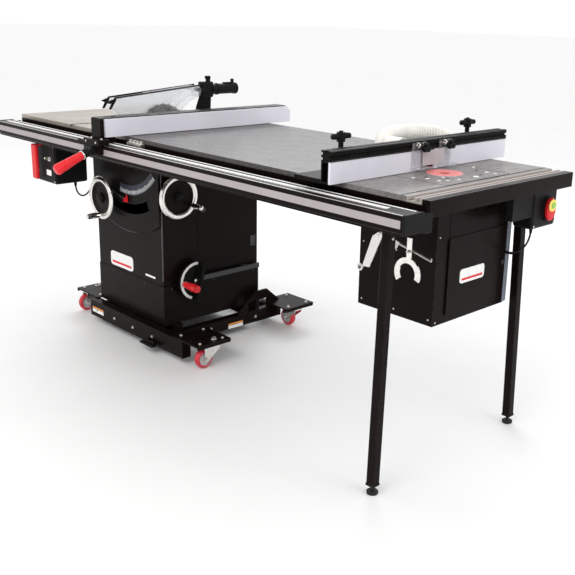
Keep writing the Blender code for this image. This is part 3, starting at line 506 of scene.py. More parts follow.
SWITCH_LEAD = (
    (0.335, 0.05, 0.6365), (0.335, 0.05, 0.616), (0.3335, 0.054, 0.596), (0.328, 0.065, 0.579),
    (0.318, 0.082, 0.567), (0.306, 0.102, 0.562), (0.2935, 0.122, 0.5645), (0.2815, 0.141, 0.5735),
    (0.271, 0.1575, 0.588), (0.262, 0.172, 0.606), (0.2555, 0.184, 0.626), (0.252, 0.193, 0.646),
    (0.251, 0.2, 0.664), (0.2545, 0.205, 0.681), (0.263, 0.208, 0.694), (0.274, 0.2095, 0.7),
    (0.284, 0.21, 0.702),
)
ROUTER_LEAD = (
    (2.14, 0.6, 0.7075), (2.14, 0.6, 0.692), (2.1385, 0.6004, 0.676), (2.134, 0.6012, 0.66),
    (2.127, 0.6024, 0.645), (2.117, 0.604, 0.632), (2.105, 0.606, 0.621), (2.092, 0.608, 0.6125),
    (2.079, 0.6098, 0.607), (2.066, 0.6108, 0.6035), (2.0505, 0.611, 0.602),
)
DUST_HOSE = (
    (1.77, 0.35, 0.925), (1.746, 0.3535, 0.927), (1.722, 0.374, 0.931), (1.692, 0.411, 0.935),
    (1.669, 0.46, 0.938), (1.656, 0.514, 0.939), (1.656, 0.57, 0.938), (1.669, 0.626, 0.935),
    (1.695, 0.678, 0.926), (1.731, 0.721, 0.904), (1.771, 0.754, 0.865), (1.809, 0.775, 0.812),
    (1.842, 0.786, 0.748), (1.868, 0.786, 0.682), (1.886, 0.771, 0.62), (1.896, 0.736, 0.577),
    (1.9, 0.694, 0.562), (1.9, 0.651, 0.56),
)
HOSE_RADIUS = 0.031
FENCE_PORT = (0.35, 0.925)  # the middle of the port behind the router fence
RIB_PITCH = 0.011


def smooth_path(points, count):
    """Points along a smooth curve through the given ones (Catmull-Rom)."""
    knots = [Vector(point) for point in points]
    knots = [2 * knots[0] - knots[1], *knots, 2 * knots[-1] - knots[-2]]
    spans = len(knots) - 3
    path = []
    for step in range(count):
        place = spans * step / (count - 1)
        first = min(int(place), spans - 1)
        t = place - first
        a, b, c, d = knots[first : first + 4]
        path.append(
            0.5 * (2 * b + (c - a) * t + (2 * a - 5 * b + 4 * c - d) * t**2
                   + (3 * b - a - 3 * c + d) * t**3)
        )
    return path


def length_of(path):
    return sum((after - before).length for before, after in zip(path, path[1:]))


def lead(name, points, radius):
    path = [GRID + place for place in smooth_path(points, 60)]
    curve = bpy.data.curves.new(name, "CURVE")
    curve.dimensions = "3D"
    curve.bevel_depth = radius
    curve.bevel_resolution = 6
    curve.use_fill_caps = True
    spline = curve.splines.new("POLY")
    spline.points.add(len(path) - 1)
    for knot, place in zip(spline.points, path):
        knot.co = (*place, 1.0)
    curve.materials.append(RUBBER)
    made = new_object(name, curve)
    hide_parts(name[: -len("_cord")])
    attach(made, "frame")


def relief(name, mouth, direction, radius):
    """The ribbed taper where a lead leaves a housing."""
    outline = [(0, 0), (radius * 2.3, 0), (radius * 2.3, 0.003)]
    ribs = 5
    for rib in range(ribs):
        size = radius * (2.0 - 0.13 * rib)
        start = 0.0032 + rib * 0.0042
        outline += [(size, start), (size, start + 0.0026), (size - 0.0009, start + 0.0032),
                (size - 0.0009, start + 0.004)]
    outline.append((0, outline[-1][1]))
    make(name, Shape().turned(outline, mouth, direction, 24), BLACK)


def dust_hose():
    """Corrugated hose: rings follow the route, and each rib stands a little proud."""
    rough = smooth_path(DUST_HOSE, 400)
    total = length_of(rough)
    ribs = round(total / RIB_PITCH)
    path = smooth_path(DUST_HOSE, ribs * 4 + 1)
    shape = Shape()
    across = Vector(UP)
    loops = []
    sides = 28
    for step, place in enumerate(path):
        ahead = path[min(step + 1, len(path) - 1)] - path[max(step - 1, 0)]
        ahead.normalize()
        across = (across - ahead * across.dot(ahead)).normalized()
        other = ahead.cross(across)
        size = HOSE_RADIUS - (0.0, 0.0007, 0.0048, 0.0007)[step % 4]
        loop = []
        for side in range(sides):
            angle = 2 * math.pi * side / sides
            out = across * math.cos(angle) + other * math.sin(angle)
            loop.append(shape.mesh.verts.new(place + out * size))
        loops.append(loop)
    for lower, upper in zip(loops, loops[1:]):
        for side in range(sides):
            after = (side + 1) % sides
            shape.mesh.faces.new((lower[side], lower[after], upper[after], upper[side]))
    shape.mesh.faces.new(loops[0])
    shape.mesh.faces.new(loops[-1])
    hose = make("dust_hose_ribbed", shape, HOSE, smooth=60)
    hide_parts("dust_hose")


lead("switch_lead_cord", SWITCH_LEAD, 0.0035)
lead("router_lead_cord", ROUTER_LEAD, 0.003)
dust_hose()
relief("switch_relief", SWITCH_LEAD[0], DOWN, 0.0035)
relief("switch_entry", (0.285, 0.21, 0.702), LEFT, 0.0035)
relief("router_relief", ROUTER_LEAD[0], DOWN, 0.003)
relief("router_entry", (2.0505, 0.611, 0.602), RIGHT, 0.0024)


# ------------ cabinet and base

TILT_X = 0.56  # the blade's plane, and the tilt axis at the table's surface
CABINET_FRONT, CABINET_RIGHT = 0.165, 0.779


def from_tilt_axis(radius, degrees):
    """A place on the cabinet's front, at an angle from straight down towards +x."""
    angle = math.radians(degrees)
    return TILT_X + radius * math.sin(angle), TOP - radius * math.cos(angle)


def cabinet_front():
    pivot = (TILT_X, TOP)
    face = 0.153
    scale = Shape().sector(pivot, 0.236, 0.276, -90 - 12, -90 + 47, 24, "Y", face - 0.0009,
            face + 0.001)
    make("bevel_scale", scale, SLATE)
    ticks = Shape()
    for degree in range(-10, 47, 2):
        inner = 0.2535 if degree % 10 == 0 else 0.257
        (x0, z0), (x1, z1) = from_tilt_axis(inner, degree), from_tilt_axis(0.2715, degree)
        half = 0.0018 / math.hypot(x1 - x0, z1 - z0)
        half_x, half_z = (z1 - z0) * half, (x1 - x0) * half
        outline = [(x0 - half_x, z0 + half_z), (x1 - half_x, z1 + half_z), (x1 + half_x, z1 - half_z),
                (x0 + half_x, z0 - half_z)]
        ticks.plate(outline, "Y", face - 0.0013, face - 0.0005)
    make("bevel_ticks", ticks, WHITE)
    rim = Shape()
    for inner in (0.3525, 0.3055):
        rim.sector(pivot, inner, inner + 0.004, -90 - 28, -90 + 27, 24, "Y", face - 0.0016, face)
    make("slot_lips", rim, BLACK)
    # A pale arc along the bulge's lower edge: a painted highlight.
    highlight_strip = Shape().sector(pivot, 0.4236, 0.4256, -90 - 36, -90 + 8, 24, "Y", face - 0.0009,
            face + 0.0006)
    make("bulge_edge_highlight", highlight_strip, HIGHLIGHT_PAINT)

    tip = from_tilt_axis(0.274, 0)
    arrow = Shape().plate([(tip[0], tip[1]), (tip[0] - 0.008, tip[1] - 0.016),
            (tip[0] - 0.026, tip[1] - 0.022), (tip[0] - 0.026, tip[1] - 0.034),
            (tip[0] + 0.007, tip[1] - 0.032), (tip[0] + 0.007, tip[1] - 0.014)], "Y", 0.148, 0.1502)
    make("bevel_pointer", arrow, RED, "tilting_cradle")
    arm = Shape().block((tip[0] - 0.015, tip[0] - 0.005), (0.1502, 0.152),
            (tip[1] - 0.028, tip[1] - 0.02))
    arm.sector(pivot, 0.29, 0.3, -90 - 22, -90 - 0.5, 16, "Y", 0.1502, 0.1522)
    arm.sector(pivot, 0.299, 0.319, -90 - 22, -90 - 19.5, 3, "Y", 0.1502, 0.1522)
    x, z = from_tilt_axis(0.317, -20.9)
    arm.rod((x, 0.151, z), (x, 0.1885, z), 0.0045)
    make("pointer_arm", arm, SATIN, "tilting_cradle", bevel=0.0004)

    badge("front_badge", (0.48, 0.305), 0.085, "Y", CABINET_FRONT, -1, "frame")
    strip = Shape().panel((0.655, 0.725), (0.283, 0.291), 0.003, "Y", CABINET_FRONT - 0.001,
            CABINET_FRONT + 0.0005)
    make("front_strip", strip, WHITE)


def badge(name, centre, half, axis, face, out, body):
    """A plain pale name plate with one thin red line along it, and nothing written on it."""
    low = half * 0.36
    plate = Shape().panel((centre[0] - half, centre[0] + half), (centre[1] - low, centre[1] + low),
            low * 0.5, axis, face - out * 0.0005, face + out * 0.0016)
    make(name, plate, WHITE, body, bevel=0.0004)
    line = Shape().panel((centre[0] - half * 0.86, centre[0] + half * 0.86),
            (centre[1] - low * 0.62, centre[1] - low * 0.3), low * 0.12, axis, face + out * 0.001,
            face + out * 0.0021)
    make(name + "_line", line, RED, body, bevel=0.0002)


def cabinet_sides():
    """Motor cover with its hinges and latch, rear louvres, dust port collar, plinth screws."""
    cover = Shape().panel((0.335, 0.625), (0.3, 0.785), 0.012, "X", CABINET_RIGHT - 0.001,
            CABINET_RIGHT + 0.0014)
    make("motor_cover", cover, PAINT, bevel=0.0008)
    # A thin near-black frame round the motor cover: painted shade in the gap.
    gap = Shape().frame((0.334, 0.626), (0.299, 0.786), 0.013, 0.001, "X", CABINET_RIGHT - 0.0005,
            CABINET_RIGHT + 0.0004)
    make("motor_cover_gap_shade", gap, GAP_SHADE_AND_DARK_LINES, slot="cabinet_paint")
    # A pale rod down the cabinet's front-right corner: a painted highlight on the rounded corner.
    highlight_strip = Shape().rod((0.7776, 0.1664, 0.284), (0.7776, 0.1664, 0.83), 0.0026, 16)
    make("cabinet_corner_highlight", highlight_strip, HIGHLIGHT_PAINT)
    hardware = Shape()
    for z in (0.38, 0.7):
        hardware.rod((CABINET_RIGHT + 0.0028, 0.63, z - 0.025),
                (CABINET_RIGHT + 0.0028, 0.63, z + 0.025), 0.0032)
        hardware.block((CABINET_RIGHT + 0.001, CABINET_RIGHT + 0.003), (0.608, 0.63),
                (z - 0.022, z + 0.022), 0.0005)
    hardware.turned([(0, 0), (0.012, 0), (0.012, 0.004), (0.009, 0.007), (0.0045, 0.008),
            (0.0045, 0.0065), (0, 0.006)], (CABINET_RIGHT + 0.001, 0.36, 0.55), RIGHT)
    make("cover_hardware", hardware, SATIN)

    rear = 0.646
    louvres = Shape()
    for row in range(7):
        z = 0.46 + row * 0.03
        for left in (0.36, 0.55):
            louvres.plate([(rear - 0.001, z), (rear + 0.007, z), (rear - 0.001, z + 0.018)], "X", left,
                    left + 0.14)
    make("rear_louvres", louvres, PAINT, bevel=0.0006)
    collar = Shape().tube((0.525, rear - 0.001, 0.27), (0.525, rear + 0.006, 0.27), 0.064, 0.0515)
    for x, z in oval((0.525, 0.27), 0.058, 0.058, 6):
        collar.screw((x, rear + 0.006, z), BACK, 0.004)
    make("dust_port_collar", collar, SATIN, slot="cabinet_paint", bevel=0.0008)

    screws = Shape()
    for x in (0.318, 0.425, 0.65, 0.768):
        screws.screw((x, 0.1625, 0.248), FRONT, 0.0036)
    for y in (0.2, 0.41, 0.62):
        screws.screw((0.785, y, 0.248), RIGHT, 0.0036)
        screws.screw((0.302, y, 0.248), LEFT, 0.0036)
    for x in (0.335, 0.525, 0.74):
        screws.screw((x, 0.649, 0.248), BACK, 0.0036)
    make("plinth_screws", screws, SATIN)


PLATES = {  # left, right, front and rear edges of each outrigger
    "front_left": (0.124, 0.3, 0.145, 0.275), "front_right": (0.9, 1.062, 0.119, 0.278),
    "rear_left": (0.102, 0.3, 0.665, 0.82), "rear_right": (0.788, 0.955, 0.665, 0.82),
}


def mobile_base():
    bolts = Shape()
    flanges = Shape()
    for corner, (x0, x1, y0, y1) in PLATES.items():
        middle = (y0 + y1) / 2
        for x in (x0 + 0.02, x1 - 0.02):
            for y in (y0 + 0.026, y1 - 0.026):
                bolts.hexagon((x, y, 0.1035), UP, 0.0046, 0.0055)
        pin = span("caster_fork_" + corner)
        if corner != "rear_right":
            place = (pin[0][0] + pin[0][1]) / 2, middle + 0.021
            bolts.hexagon((*place, 0.1035), UP, 0.008, 0.01)
        edge = (x0, x0 + 0.003) if "left" in corner else (x1 - 0.003, x1)
        flanges.block(edge, (y0, y1), (0.088, 0.098), 0.0008)
    for x in (0.34, 0.48, 0.62, 0.76):
        bolts.hexagon((x, 0.118, 0.06), FRONT, 0.0044, 0.005)
    for y in (0.24, 0.36, 0.6):
        bolts.hexagon((0.826, y, 0.052), RIGHT, 0.0044, 0.005)
    make("base_bolts", bolts, ZINC)
    make("outrigger_flanges", flanges, PAINT)
    for name, low, high, look in (("upper", 0.057, 0.064, ORANGE), ("lower", 0.043, 0.057, WHITE)):
        label = Shape().block((0.8255, 0.8264), (0.452, 0.53), (low - 0.014, high - 0.012))
        label.block((0.302, 0.39), (0.1176, 0.1185), (low + 0.004, high + 0.006))
        make("base_label_" + name, label, look, slot="cabinet_paint")

    pedal = Shape()
    for step in range(6):
        x = 0.723 + step * 0.0138
        pedal.block((x, x + 0.004), (0.088, 0.1), (0.0378, 0.0392), 0.0004)
    make("pedal_ribs", pedal, RUBBER, "foot_pedal")


def caster_details():
    """A rounded tread on a grey hub for each wheel, with the axle's nuts."""
    for corner in PLATES:
        wheel, fork = "caster_wheel_" + corner, "caster_fork_" + corner
        (x0, x1), (y0, y1), (z0, z1) = span(wheel)
        radius = (z1 - z0) / 2
        centre = Vector(((x0 + x1) / 2, (y0 + y1) / 2, (z0 + z1) / 2))
        axis = Vector(RIGHT) if x1 - x0 < y1 - y0 else Vector(BACK)
        tread = [(0.027, -0.0125)]
        tread += [(radius - 0.007 + 0.007 * math.sin(a), -0.0132 * math.cos(a))
                  for a in (math.radians(step * 15) for step in range(1, 12))]
        tread += [(0.027, 0.0125)]
        piece = make("tread_" + corner, Shape().turned(tread, centre, axis, 64, ring=True), TREAD,
                wheel, smooth=50)
        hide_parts(wheel)
        hub = [(0.0056, -0.0155), (0.0105, -0.0155), (0.0115, -0.01), (0.022, -0.0085),
               (0.0245, -0.0118), (0.0275, -0.0118)]
        hub += [(out, -along) for out, along in hub[::-1]]
        make("hub_" + corner, Shape().turned(hub, centre, axis, 48, ring=True), HUB, wheel, smooth=30)
        nuts = Shape()
        for side in (-1, 1):
            nuts.turned([(0, 0), (0.0085, 0), (0.0085, 0.0045), (0.007, 0.0058), (0, 0.0058)],
                    centre + axis * side * 0.0212, axis * side, 6)
        make("axle_nuts_" + corner, nuts, ZINC, fork)


cabinet_front()
cabinet_sides()
mobile_base()
caster_details()


# ------------ handwheels


def handwheel(node, body, centre, face):
    """Dished wheel: bright rim and shaft, dark web and hub, lock knob in the middle."""
    face = Vector(face)
    shaft = 0.185 if abs(face.y) > 0.5 else 0.11
    rim = [(0.068, -0.004)]
    for step in range(13):
        angle = math.radians(-150 + step * 25)
        rim.append((0.0772 + 0.0118 * math.cos(angle), 0.008 * math.sin(angle)))
    bright = Shape().turned(rim, centre, face, 72, ring=True)
    bright.turned([(0, -shaft), (0.0108, -shaft), (0.0108, -0.012), (0, -0.012)], centre, face, 32)
    wheel = make(node + "_rim", bright, CHROME, body, smooth=35)
    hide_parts(node)
    web = Shape().turned([(0.0115, -0.013), (0.0205, -0.013), (0.0235, -0.0064), (0.04, -0.006),
            (0.069, -0.0036), (0.0695, 0.0006), (0.058, -0.0022), (0.04, -0.0034), (0.0225, -0.001),
            (0.0195, 0.0085), (0.0115, 0.0095)], centre, face, 72, ring=True)
    make(node + "_web", web, PAINT, body, smooth=30)
    lock = Shape().turned([(0, 0.004), (0.012, 0.004), (0.0125, 0.0105), (0.0105, 0.0125), (0, 0.013)],
            centre, face, 12)
    make(node + "_cap", lock, BLACK, body)


handwheel("elevation_wheel", "elevation_wheel", (0.43, 0.11, 0.572), FRONT)
handwheel("tilt_wheel", "tilt_wheel", (0.8, 0.232, 0.62), RIGHT)


# ------------ rail, tables and fence

RAIL_TOP = 0.8545


def front_rail():
    front, back, end = -0.11, -0.035, 2.222
    for name, look, proud, strips in (
        ("rail_scale", WHITE, 0.0004, ((0.02, 2.14, -0.081, -0.0645),
                                       (0.012, 2.208, -0.0485, -0.042))),
        # Zinc strips on the rail's top: the one along the front edge is a painted edge highlight, and
        # the other is a thin line in front of the scale.
        ("rail_line_and_edge_highlight", ZINC, 0.0003, ((0.012, end - 0.004, front + 0.0012, front + 0.0034),
                                     (0.012, 2.14, -0.0885, -0.087))),
    ):
        strip = Shape()
        for x0, x1, y0, y1 in strips:
            strip.block((x0, x1), (y0, y1), (RAIL_TOP - 0.001, RAIL_TOP + proud))
        make(name, strip, look, slot="aluminium")
    ticks = Shape()
    for step in range(166):
        x = 0.03 + step * 0.0127
        reach = -0.0765 if step % 4 else -0.0735
        ticks.block((x, x + 0.0008), (-0.0806, reach), (RAIL_TOP, RAIL_TOP + 0.00055))
    make("rail_ticks", ticks, SATIN, slot="black_plastic")
    # A pale strip along the rail's front face: a painted reflection of the surroundings in the gloss
    # black tube.
    label = Shape().block((0.02, 2.213), (front - 0.0006, front + 0.001), (0.8195, 0.8405), 0.0002)
    make("rail_painted_reflection_band", label, REFLECTION_BAND)
    caps = Shape()
    for x0, x1 in ((-0.0065, 0.0015), (end - 0.0015, end + 0.0065)):
        caps.panel((front - 0.0015, back + 0.0015), (0.8035, RAIL_TOP + 0.0015), 0.006, "X", x0, x1)
        caps.panel((back, -0.004), (0.7985, 0.85), 0.004, "X", x0, x1)
    make("rail_caps", caps, BLACK, bevel=0.0012)
    bolts = Shape()
    for x in (0.1, 0.28, 0.47, 0.66, 1.25, 1.55, 1.85, 2.08, 2.17):
        bolts.hexagon((x, -0.018, 0.8061), UP, 0.0062, 0.0085)
    for x in (0.06, 0.27, 0.36, 0.76, 1.0, 1.4, 1.74, 2.05):
        bolts.hexagon((x, DEPTH + 0.0056, 0.842), BACK, 0.0062, 0.0075)
    make("rail_bolts", bolts, ZINC)
    joint = Shape().block((0.862, 0.948), (-0.03, -0.006), (0.85, 0.864), 0.0015)
    for x in (0.872, 0.895, 0.915, 0.938):
        joint.hexagon((x, -0.018, 0.864), UP, 0.0062, 0.0085)
    make("rail_joint", joint, ZINC)


def table_details():
    screws = Shape()
    for x, y in ((0.519, 0.165), (0.601, 0.165), (0.519, 0.585), (0.601, 0.585)):
        screws.turned([(0, 0), (0.0034, 0), (0.0034, 0.0004), (0.0026, 0.0006), (0, 0.0004)],
                (x, y, TOP), UP, 20)
    make("throat_screws", screws, ZINC)
    edging = Shape().block((1.7986, 1.7998), (0.0005, DEPTH - 0.0005), (TOP - 0.002, TOP + 0.0002))
    edging.block((0.8125, 0.8137), (0.0005, DEPTH - 0.0005), (TOP - 0.002, TOP + 0.0002))
    make("board_edging", edging, GAP_SHADE_AND_DARK_LINES)
    # Near-black strips in the track's slots: painted shade.
    grooves = Shape()
    grooves.block((2.1155, 2.1205), (0.0005, DEPTH - 0.0005), (TOP - 0.001, TOP + 0.0003))
    grooves.block((2.144, 2.1455), (0.0005, DEPTH - 0.0005), (TOP - 0.0096, TOP - 0.0088))
    make("track_groove_shade", grooves, GAP_SHADE_AND_DARK_LINES, slot="aluminium")


def router_plate():
    """Insert ring and levelling screws round the router's bit, with painted shade round the plate's
    outline and inside its bushing holes.
    """
    centre = (1.985, 0.35)
    ring = Shape().turned([(0.0165, -0.0044), (0.049, -0.0044), (0.049, 0.0002), (0.0545, 0.0002),
            (0.054, 0.001), (0.0195, 0.001), (0.0165, 0.0)], (*centre, TOP), UP, 64, ring=True)
    make("insert_ring", ring, PINK, smooth=30)
    around = Shape().turned([(0.0546, -0.0006), (0.0565, -0.0006), (0.0563, 0.0005), (0.0548, 0.0005)],
            (*centre, TOP), UP, 64, ring=True)
    make("insert_border", around, ZINC, slot="aluminium", smooth=30)
    # A near-black line round the router plate: painted shade in the gap between plate and table.
    line = Shape().frame((centre[0] - 0.1125, centre[0] + 0.1275),
            (centre[1] - 0.155, centre[1] + 0.155), 0.012, 0.0018, "Z", TOP - 0.001, TOP + 0.0002)
    make("router_plate_gap_shade", line, GAP_SHADE_AND_DARK_LINES)
    holes = Shape()
    screws = Shape()
    for x, y, size in ((-0.004, -0.138, 0.006), (0.029, -0.114, 0.007), (0.069, -0.113, 0.006),
                       (0.079, -0.086, 0.005), (0.043, -0.061, 0.005), (0.092, -0.051, 0.005),
                       (0.094, 0.027, 0.009), (0.07, 0.114, 0.007), (0.1, 0.115, 0.005),
                       (-0.008, 0.155, 0.006)):
        screws.turned([(0, 0), (size, 0), (size - 0.0004, 0.0005), (0, 0.0005)],
                (centre[0] + x, centre[1] + y, TOP), UP, 20)
    # Near-black discs on the plate: painted shade inside the bushing holes.
    for x, y in ((0.066, -0.07), (0.086, 0.06), (0.03, 0.118), (0.012, -0.1)):
        holes.turned([(0, 0), (0.0052, 0), (0.005, 0.0003), (0, 0.0003)],
                (centre[0] + x, centre[1] + y, TOP), UP, 24)
    make("router_plate_screws", screws, WHITE)
    make("router_plate_bore_shade", holes, GAP_SHADE_AND_DARK_LINES)


def fence_details():
    body = "rip_fence"
    left, end = 0.745, 0.775
    cap = Shape().block((left - 0.0008, 0.8058), (end - 0.001, end + 0.004), (TOP + 0.0015, 0.944),
            0.0014)
    make("fence_end_cap", cap, BLACK, body)
    window = Shape().block((0.702, 0.745), (-0.119, -0.06), (0.8572, 0.8592), 0.0006)
    make("cursor_lens", window, CLEAR, body)
    hair = Shape().block((0.7225, 0.7232), (-0.118, -0.0605), (0.8566, 0.8573))
    make("cursor_hairline", hair, RED, body)
    holder = Shape().block((0.7, 0.7455), (-0.13, -0.1185), (0.8566, 0.864), 0.0008)
    for x in (0.708, 0.737):
        holder.screw((x, -0.1242, 0.864), UP, 0.003)
    make("cursor_holder", holder, BLACK, body)
    screws = Shape()
    for y in (0.02, 0.24, 0.47, 0.7):
        screws.screw((left, y, 0.911), LEFT, 0.0042)
    for x in (0.762, 0.828):
        screws.screw((x, -0.108, 0.874), UP, 0.0045)
        screws.screw((x, -0.1315, 0.864), FRONT, 0.004)
    make("fence_screws", screws, ZINC, body)
    boss = Shape().rod((0.789, -0.1465, 0.836), (0.831, -0.1465, 0.836), 0.0138, 32)
    boss.turned([(0.012, 0.004), (0.0146, 0.004), (0.0158, 0.024), (0.0152, 0.027), (0.012, 0.027)],
            (0.81, -0.148, 0.8345), (0, -0.9195, -0.393), 32, ring=True)
    make("lever_boss", boss, BLACK, "fence_lever")
    collar = Shape().turned([(0.014, 0.027), (0.016, 0.027), (0.0163, 0.029), (0.016, 0.031),
            (0.014, 0.031)], (0.81, -0.148, 0.8345), (0, -0.9195, -0.393), 32, ring=True)
    make("lever_collar", collar, CHROME, "fence_lever")


front_rail()
table_details()
router_plate()
fence_details()


# ------------ guard and blade


def guard_details():
    rods = Shape()
    for x in (0.5375, 0.5825):
        rods.rod((x, 0.1, 0.9865), (x, 0.504, 1.0205), 0.0034, 16)
        rods.rod((x, 0.086, 0.9585), (x, 0.1, 0.9865), 0.0034, 16)
    make("guard_rods", rods, BLACK, "guard")
    foot = Shape()
    for x in (0.5335, 0.5825):
        foot.plate([(0.067, 0.975), (0.104, 0.986), (0.104, 0.978), (0.08, 0.944), (0.072, 0.946),
                (0.084, 0.968)], "X", x, x + 0.004)
    foot.block((0.5335, 0.5865), (0.084, 0.092), (0.964, 0.97), 0.001)
    make("guard_front_foot", foot, BLACK, "guard", bevel=0.0006)
    rims = Shape()
    lower_edge = ((0.08, 0.955), (0.13, 0.908), (0.38, 0.908), (0.44, 0.956), (0.5, 0.982))
    for x in (0.5328, 0.5862):
        for start, end in zip(lower_edge, lower_edge[1:]):
            rims.rod((x, *start), (x, *end), 0.0014, 10)
    make("guard_shell_rims", rims, CLEAR, "guard")
    pivot = Shape().rod((0.531, 0.515, 1.0), (0.5439, 0.515, 1.0), 0.009)
    pivot.rod((0.5762, 0.515, 1.0), (0.589, 0.515, 1.0), 0.009)
    make("guard_pivot", pivot, BLACK, "arbor_carriage")
    knob = Shape()
    for place in oval((0.56, 0.56), 0.0065, 0.0065, 3):
        knob.turned([(0, 0), (0.0065, 0), (0.0072, 0.003), (0.0072, 0.01), (0.0058, 0.012), (0, 0.012)],
                (*place, 1.043), UP, 20)
    make("guard_knob", knob, BLACK, "arbor_carriage")
    latch = Shape().block((0.552, 0.568), (0.64, 0.692), (1.021, 1.0265), 0.0015)
    latch.block((0.552, 0.568), (0.684, 0.692), (1.024, 1.04), 0.0015)
    latch.tube((0.56, 0.6, 1.0), (0.56, 0.606, 1.0), 0.0245, 0.0221)
    latch.tube((0.56, 0.694, 1.0), (0.56, 0.704, 1.0), 0.024, 0.0195)
    make("guard_latch", latch, BLACK, "arbor_carriage")


def blade_details():
    """Carbide tips on the blade."""
    (_, _), (y0, y1), (z0, z1) = span("saw_blade")
    centre = ((y0 + y1) / 2, (z0 + z1) / 2)
    radius = (z1 - z0) / 2
    tips = Shape()
    for tooth in range(24):
        angle = 2 * math.pi * tooth / 24
        points = []
        for turn, reach in ((-0.012, radius - 0.006), (0.022, radius - 0.0062),
                            (0.018, radius + 0.0002), (-0.002, radius + 0.0004)):
            points.append((centre[0] + reach * math.cos(angle + turn),
                    centre[1] + reach * math.sin(angle + turn)))
        tips.plate(points, "X", TILT_X - 0.0017, TILT_X + 0.0017)
    make("blade_tips", tips, CHROME, "arbor", "steel")


guard_details()
blade_details()


# ------------ router fence and wing


def router_fence_details():
    body = "router_fence"
    face = 1.921
    lines = Shape()
    (_, _), (y0, y1), _ = span("router_fence")
    for z in (0.94, 0.9655):
        lines.block((face - 0.0006, face + 0.0003), (y0 + 0.001, y1 - 0.001), (z, z + 0.0012))
    make("extrusion_lines", lines, SATIN, body, "black_plastic")
    for name, low, high in (("front", 0.272, 0.336), ("rear", 0.397, 0.454)):
        guard = Shape().panel((low, high), (0.89, 0.963), 0.006, "X", face + 0.0008, face + 0.0046)
        make("bit_guard_" + name, guard, CLEAR, body, bevel=0.0008)
        flange = Shape().panel((1.9226, 1.956), (low, high), 0.006, "Z", 0.886, 0.89)
        make("bit_guard_lip_" + name, flange, CLEAR, body, bevel=0.0008)
        hook = Shape().rod((face + 0.001, low + 0.012, 0.9533), (face + 0.018, low + 0.012, 0.9533),
                0.003, 16)
        hook.turned(oval((0.0062, 0), 0.0018, 0.0018, 8), (face + 0.014, low + 0.012, 0.9568), BACK, 24,
                ring=True)
        make("bit_guard_hook_" + name, hook, CHROME, body)
        y = high - 0.017
        knob = Shape().rod((face + 0.0046, y, 0.9465), (face + 0.012, y, 0.9465), 0.0065, 24)
        for place in round_profile((y, 0.9465), 0.008, 90, 330, 2):
            knob.turned([(0, 0), (0.007, 0), (0.008, 0.0025), (0.008, 0.01), (0.0062, 0.0125),
                    (0, 0.0125)], (face + 0.011, *place), RIGHT, 24)
        make("bit_guard_knob_" + name, knob, BLACK, body)
    shield = Shape().panel((0.316, 0.418), (0.892, 0.937), 0.004, "X", face + 0.0052, face + 0.0072)
    make("bit_shield", shield, FROSTED, body, bevel=0.0006)
    fixings = Shape()
    for y in (-0.045, 0.12, 0.28, 0.42, 0.58, 0.74):
        fixings.screw((1.884, y, 0.92), LEFT, 0.0045)
    make("router_fence_screws", fixings, ZINC, body)
    for name, y in (("front", 0.062), ("rear", 0.652)):
        grip = Shape()
        for step in range(5):
            x = 1.8286 + step * 0.0029
            grip.block((x, x + 0.0012), (y - 0.033, y + 0.033), (0.996, 0.9971), 0.0003)
        grip.turned([(0, 0), (0.006, 0), (0.006, 0.003), (0.0045, 0.0042), (0, 0.0045)],
                (1.835, y, 1.0008), UP, 24)
        make("knob_ribs_" + name, grip, BLACK, "fence_knob_" + name)
        washer = Shape().turned([(0.008, 0), (0.0155, 0), (0.016, 0.001), (0.0155, 0.002),
                (0.008, 0.002)], (1.835, y, 0.8881), UP, 32, ring=True)
        make("knob_washer_" + name, washer, ZINC, body)
    tail = Shape().tube((1.7965, *FENCE_PORT), (1.803, *FENCE_PORT), 0.0296, 0.0265)
    make("fence_port_lip", tail, BLACK, body)


def hose_cuffs():
    fence_cuff = Shape().turned([(0.0302, 0), (0.0345, 0), (0.0352, 0.003), (0.0345, 0.006),
            (0.0345, 0.05), (0.0352, 0.053), (0.0345, 0.056), (0.0302, 0.056)], (1.764, *FENCE_PORT),
            RIGHT, 48, ring=True)
    make("hose_cuff_fence", fence_cuff, HOSE)
    box_cuff = Shape().turned([(0.0345, 0), (0.0385, 0), (0.0392, 0.003), (0.0385, 0.006),
            (0.0385, 0.036), (0.0345, 0.04), (0.0315, 0.046), (0.0312, 0.04)], (1.9, 0.62, 0.56), BACK,
            48, ring=True)
    make("hose_cuff_box", box_cuff, HOSE)
    clamp = Shape().tube((1.9, 0.63, 0.56), (1.9, 0.638, 0.56), 0.04, 0.0386)
    clamp.block((1.892, 1.908), (0.629, 0.639), (0.5985, 0.607), 0.001)
    clamp.rod((1.884, 0.634, 0.603), (1.916, 0.634, 0.603), 0.0024, 12)
    make("hose_clamp", clamp, ZINC)


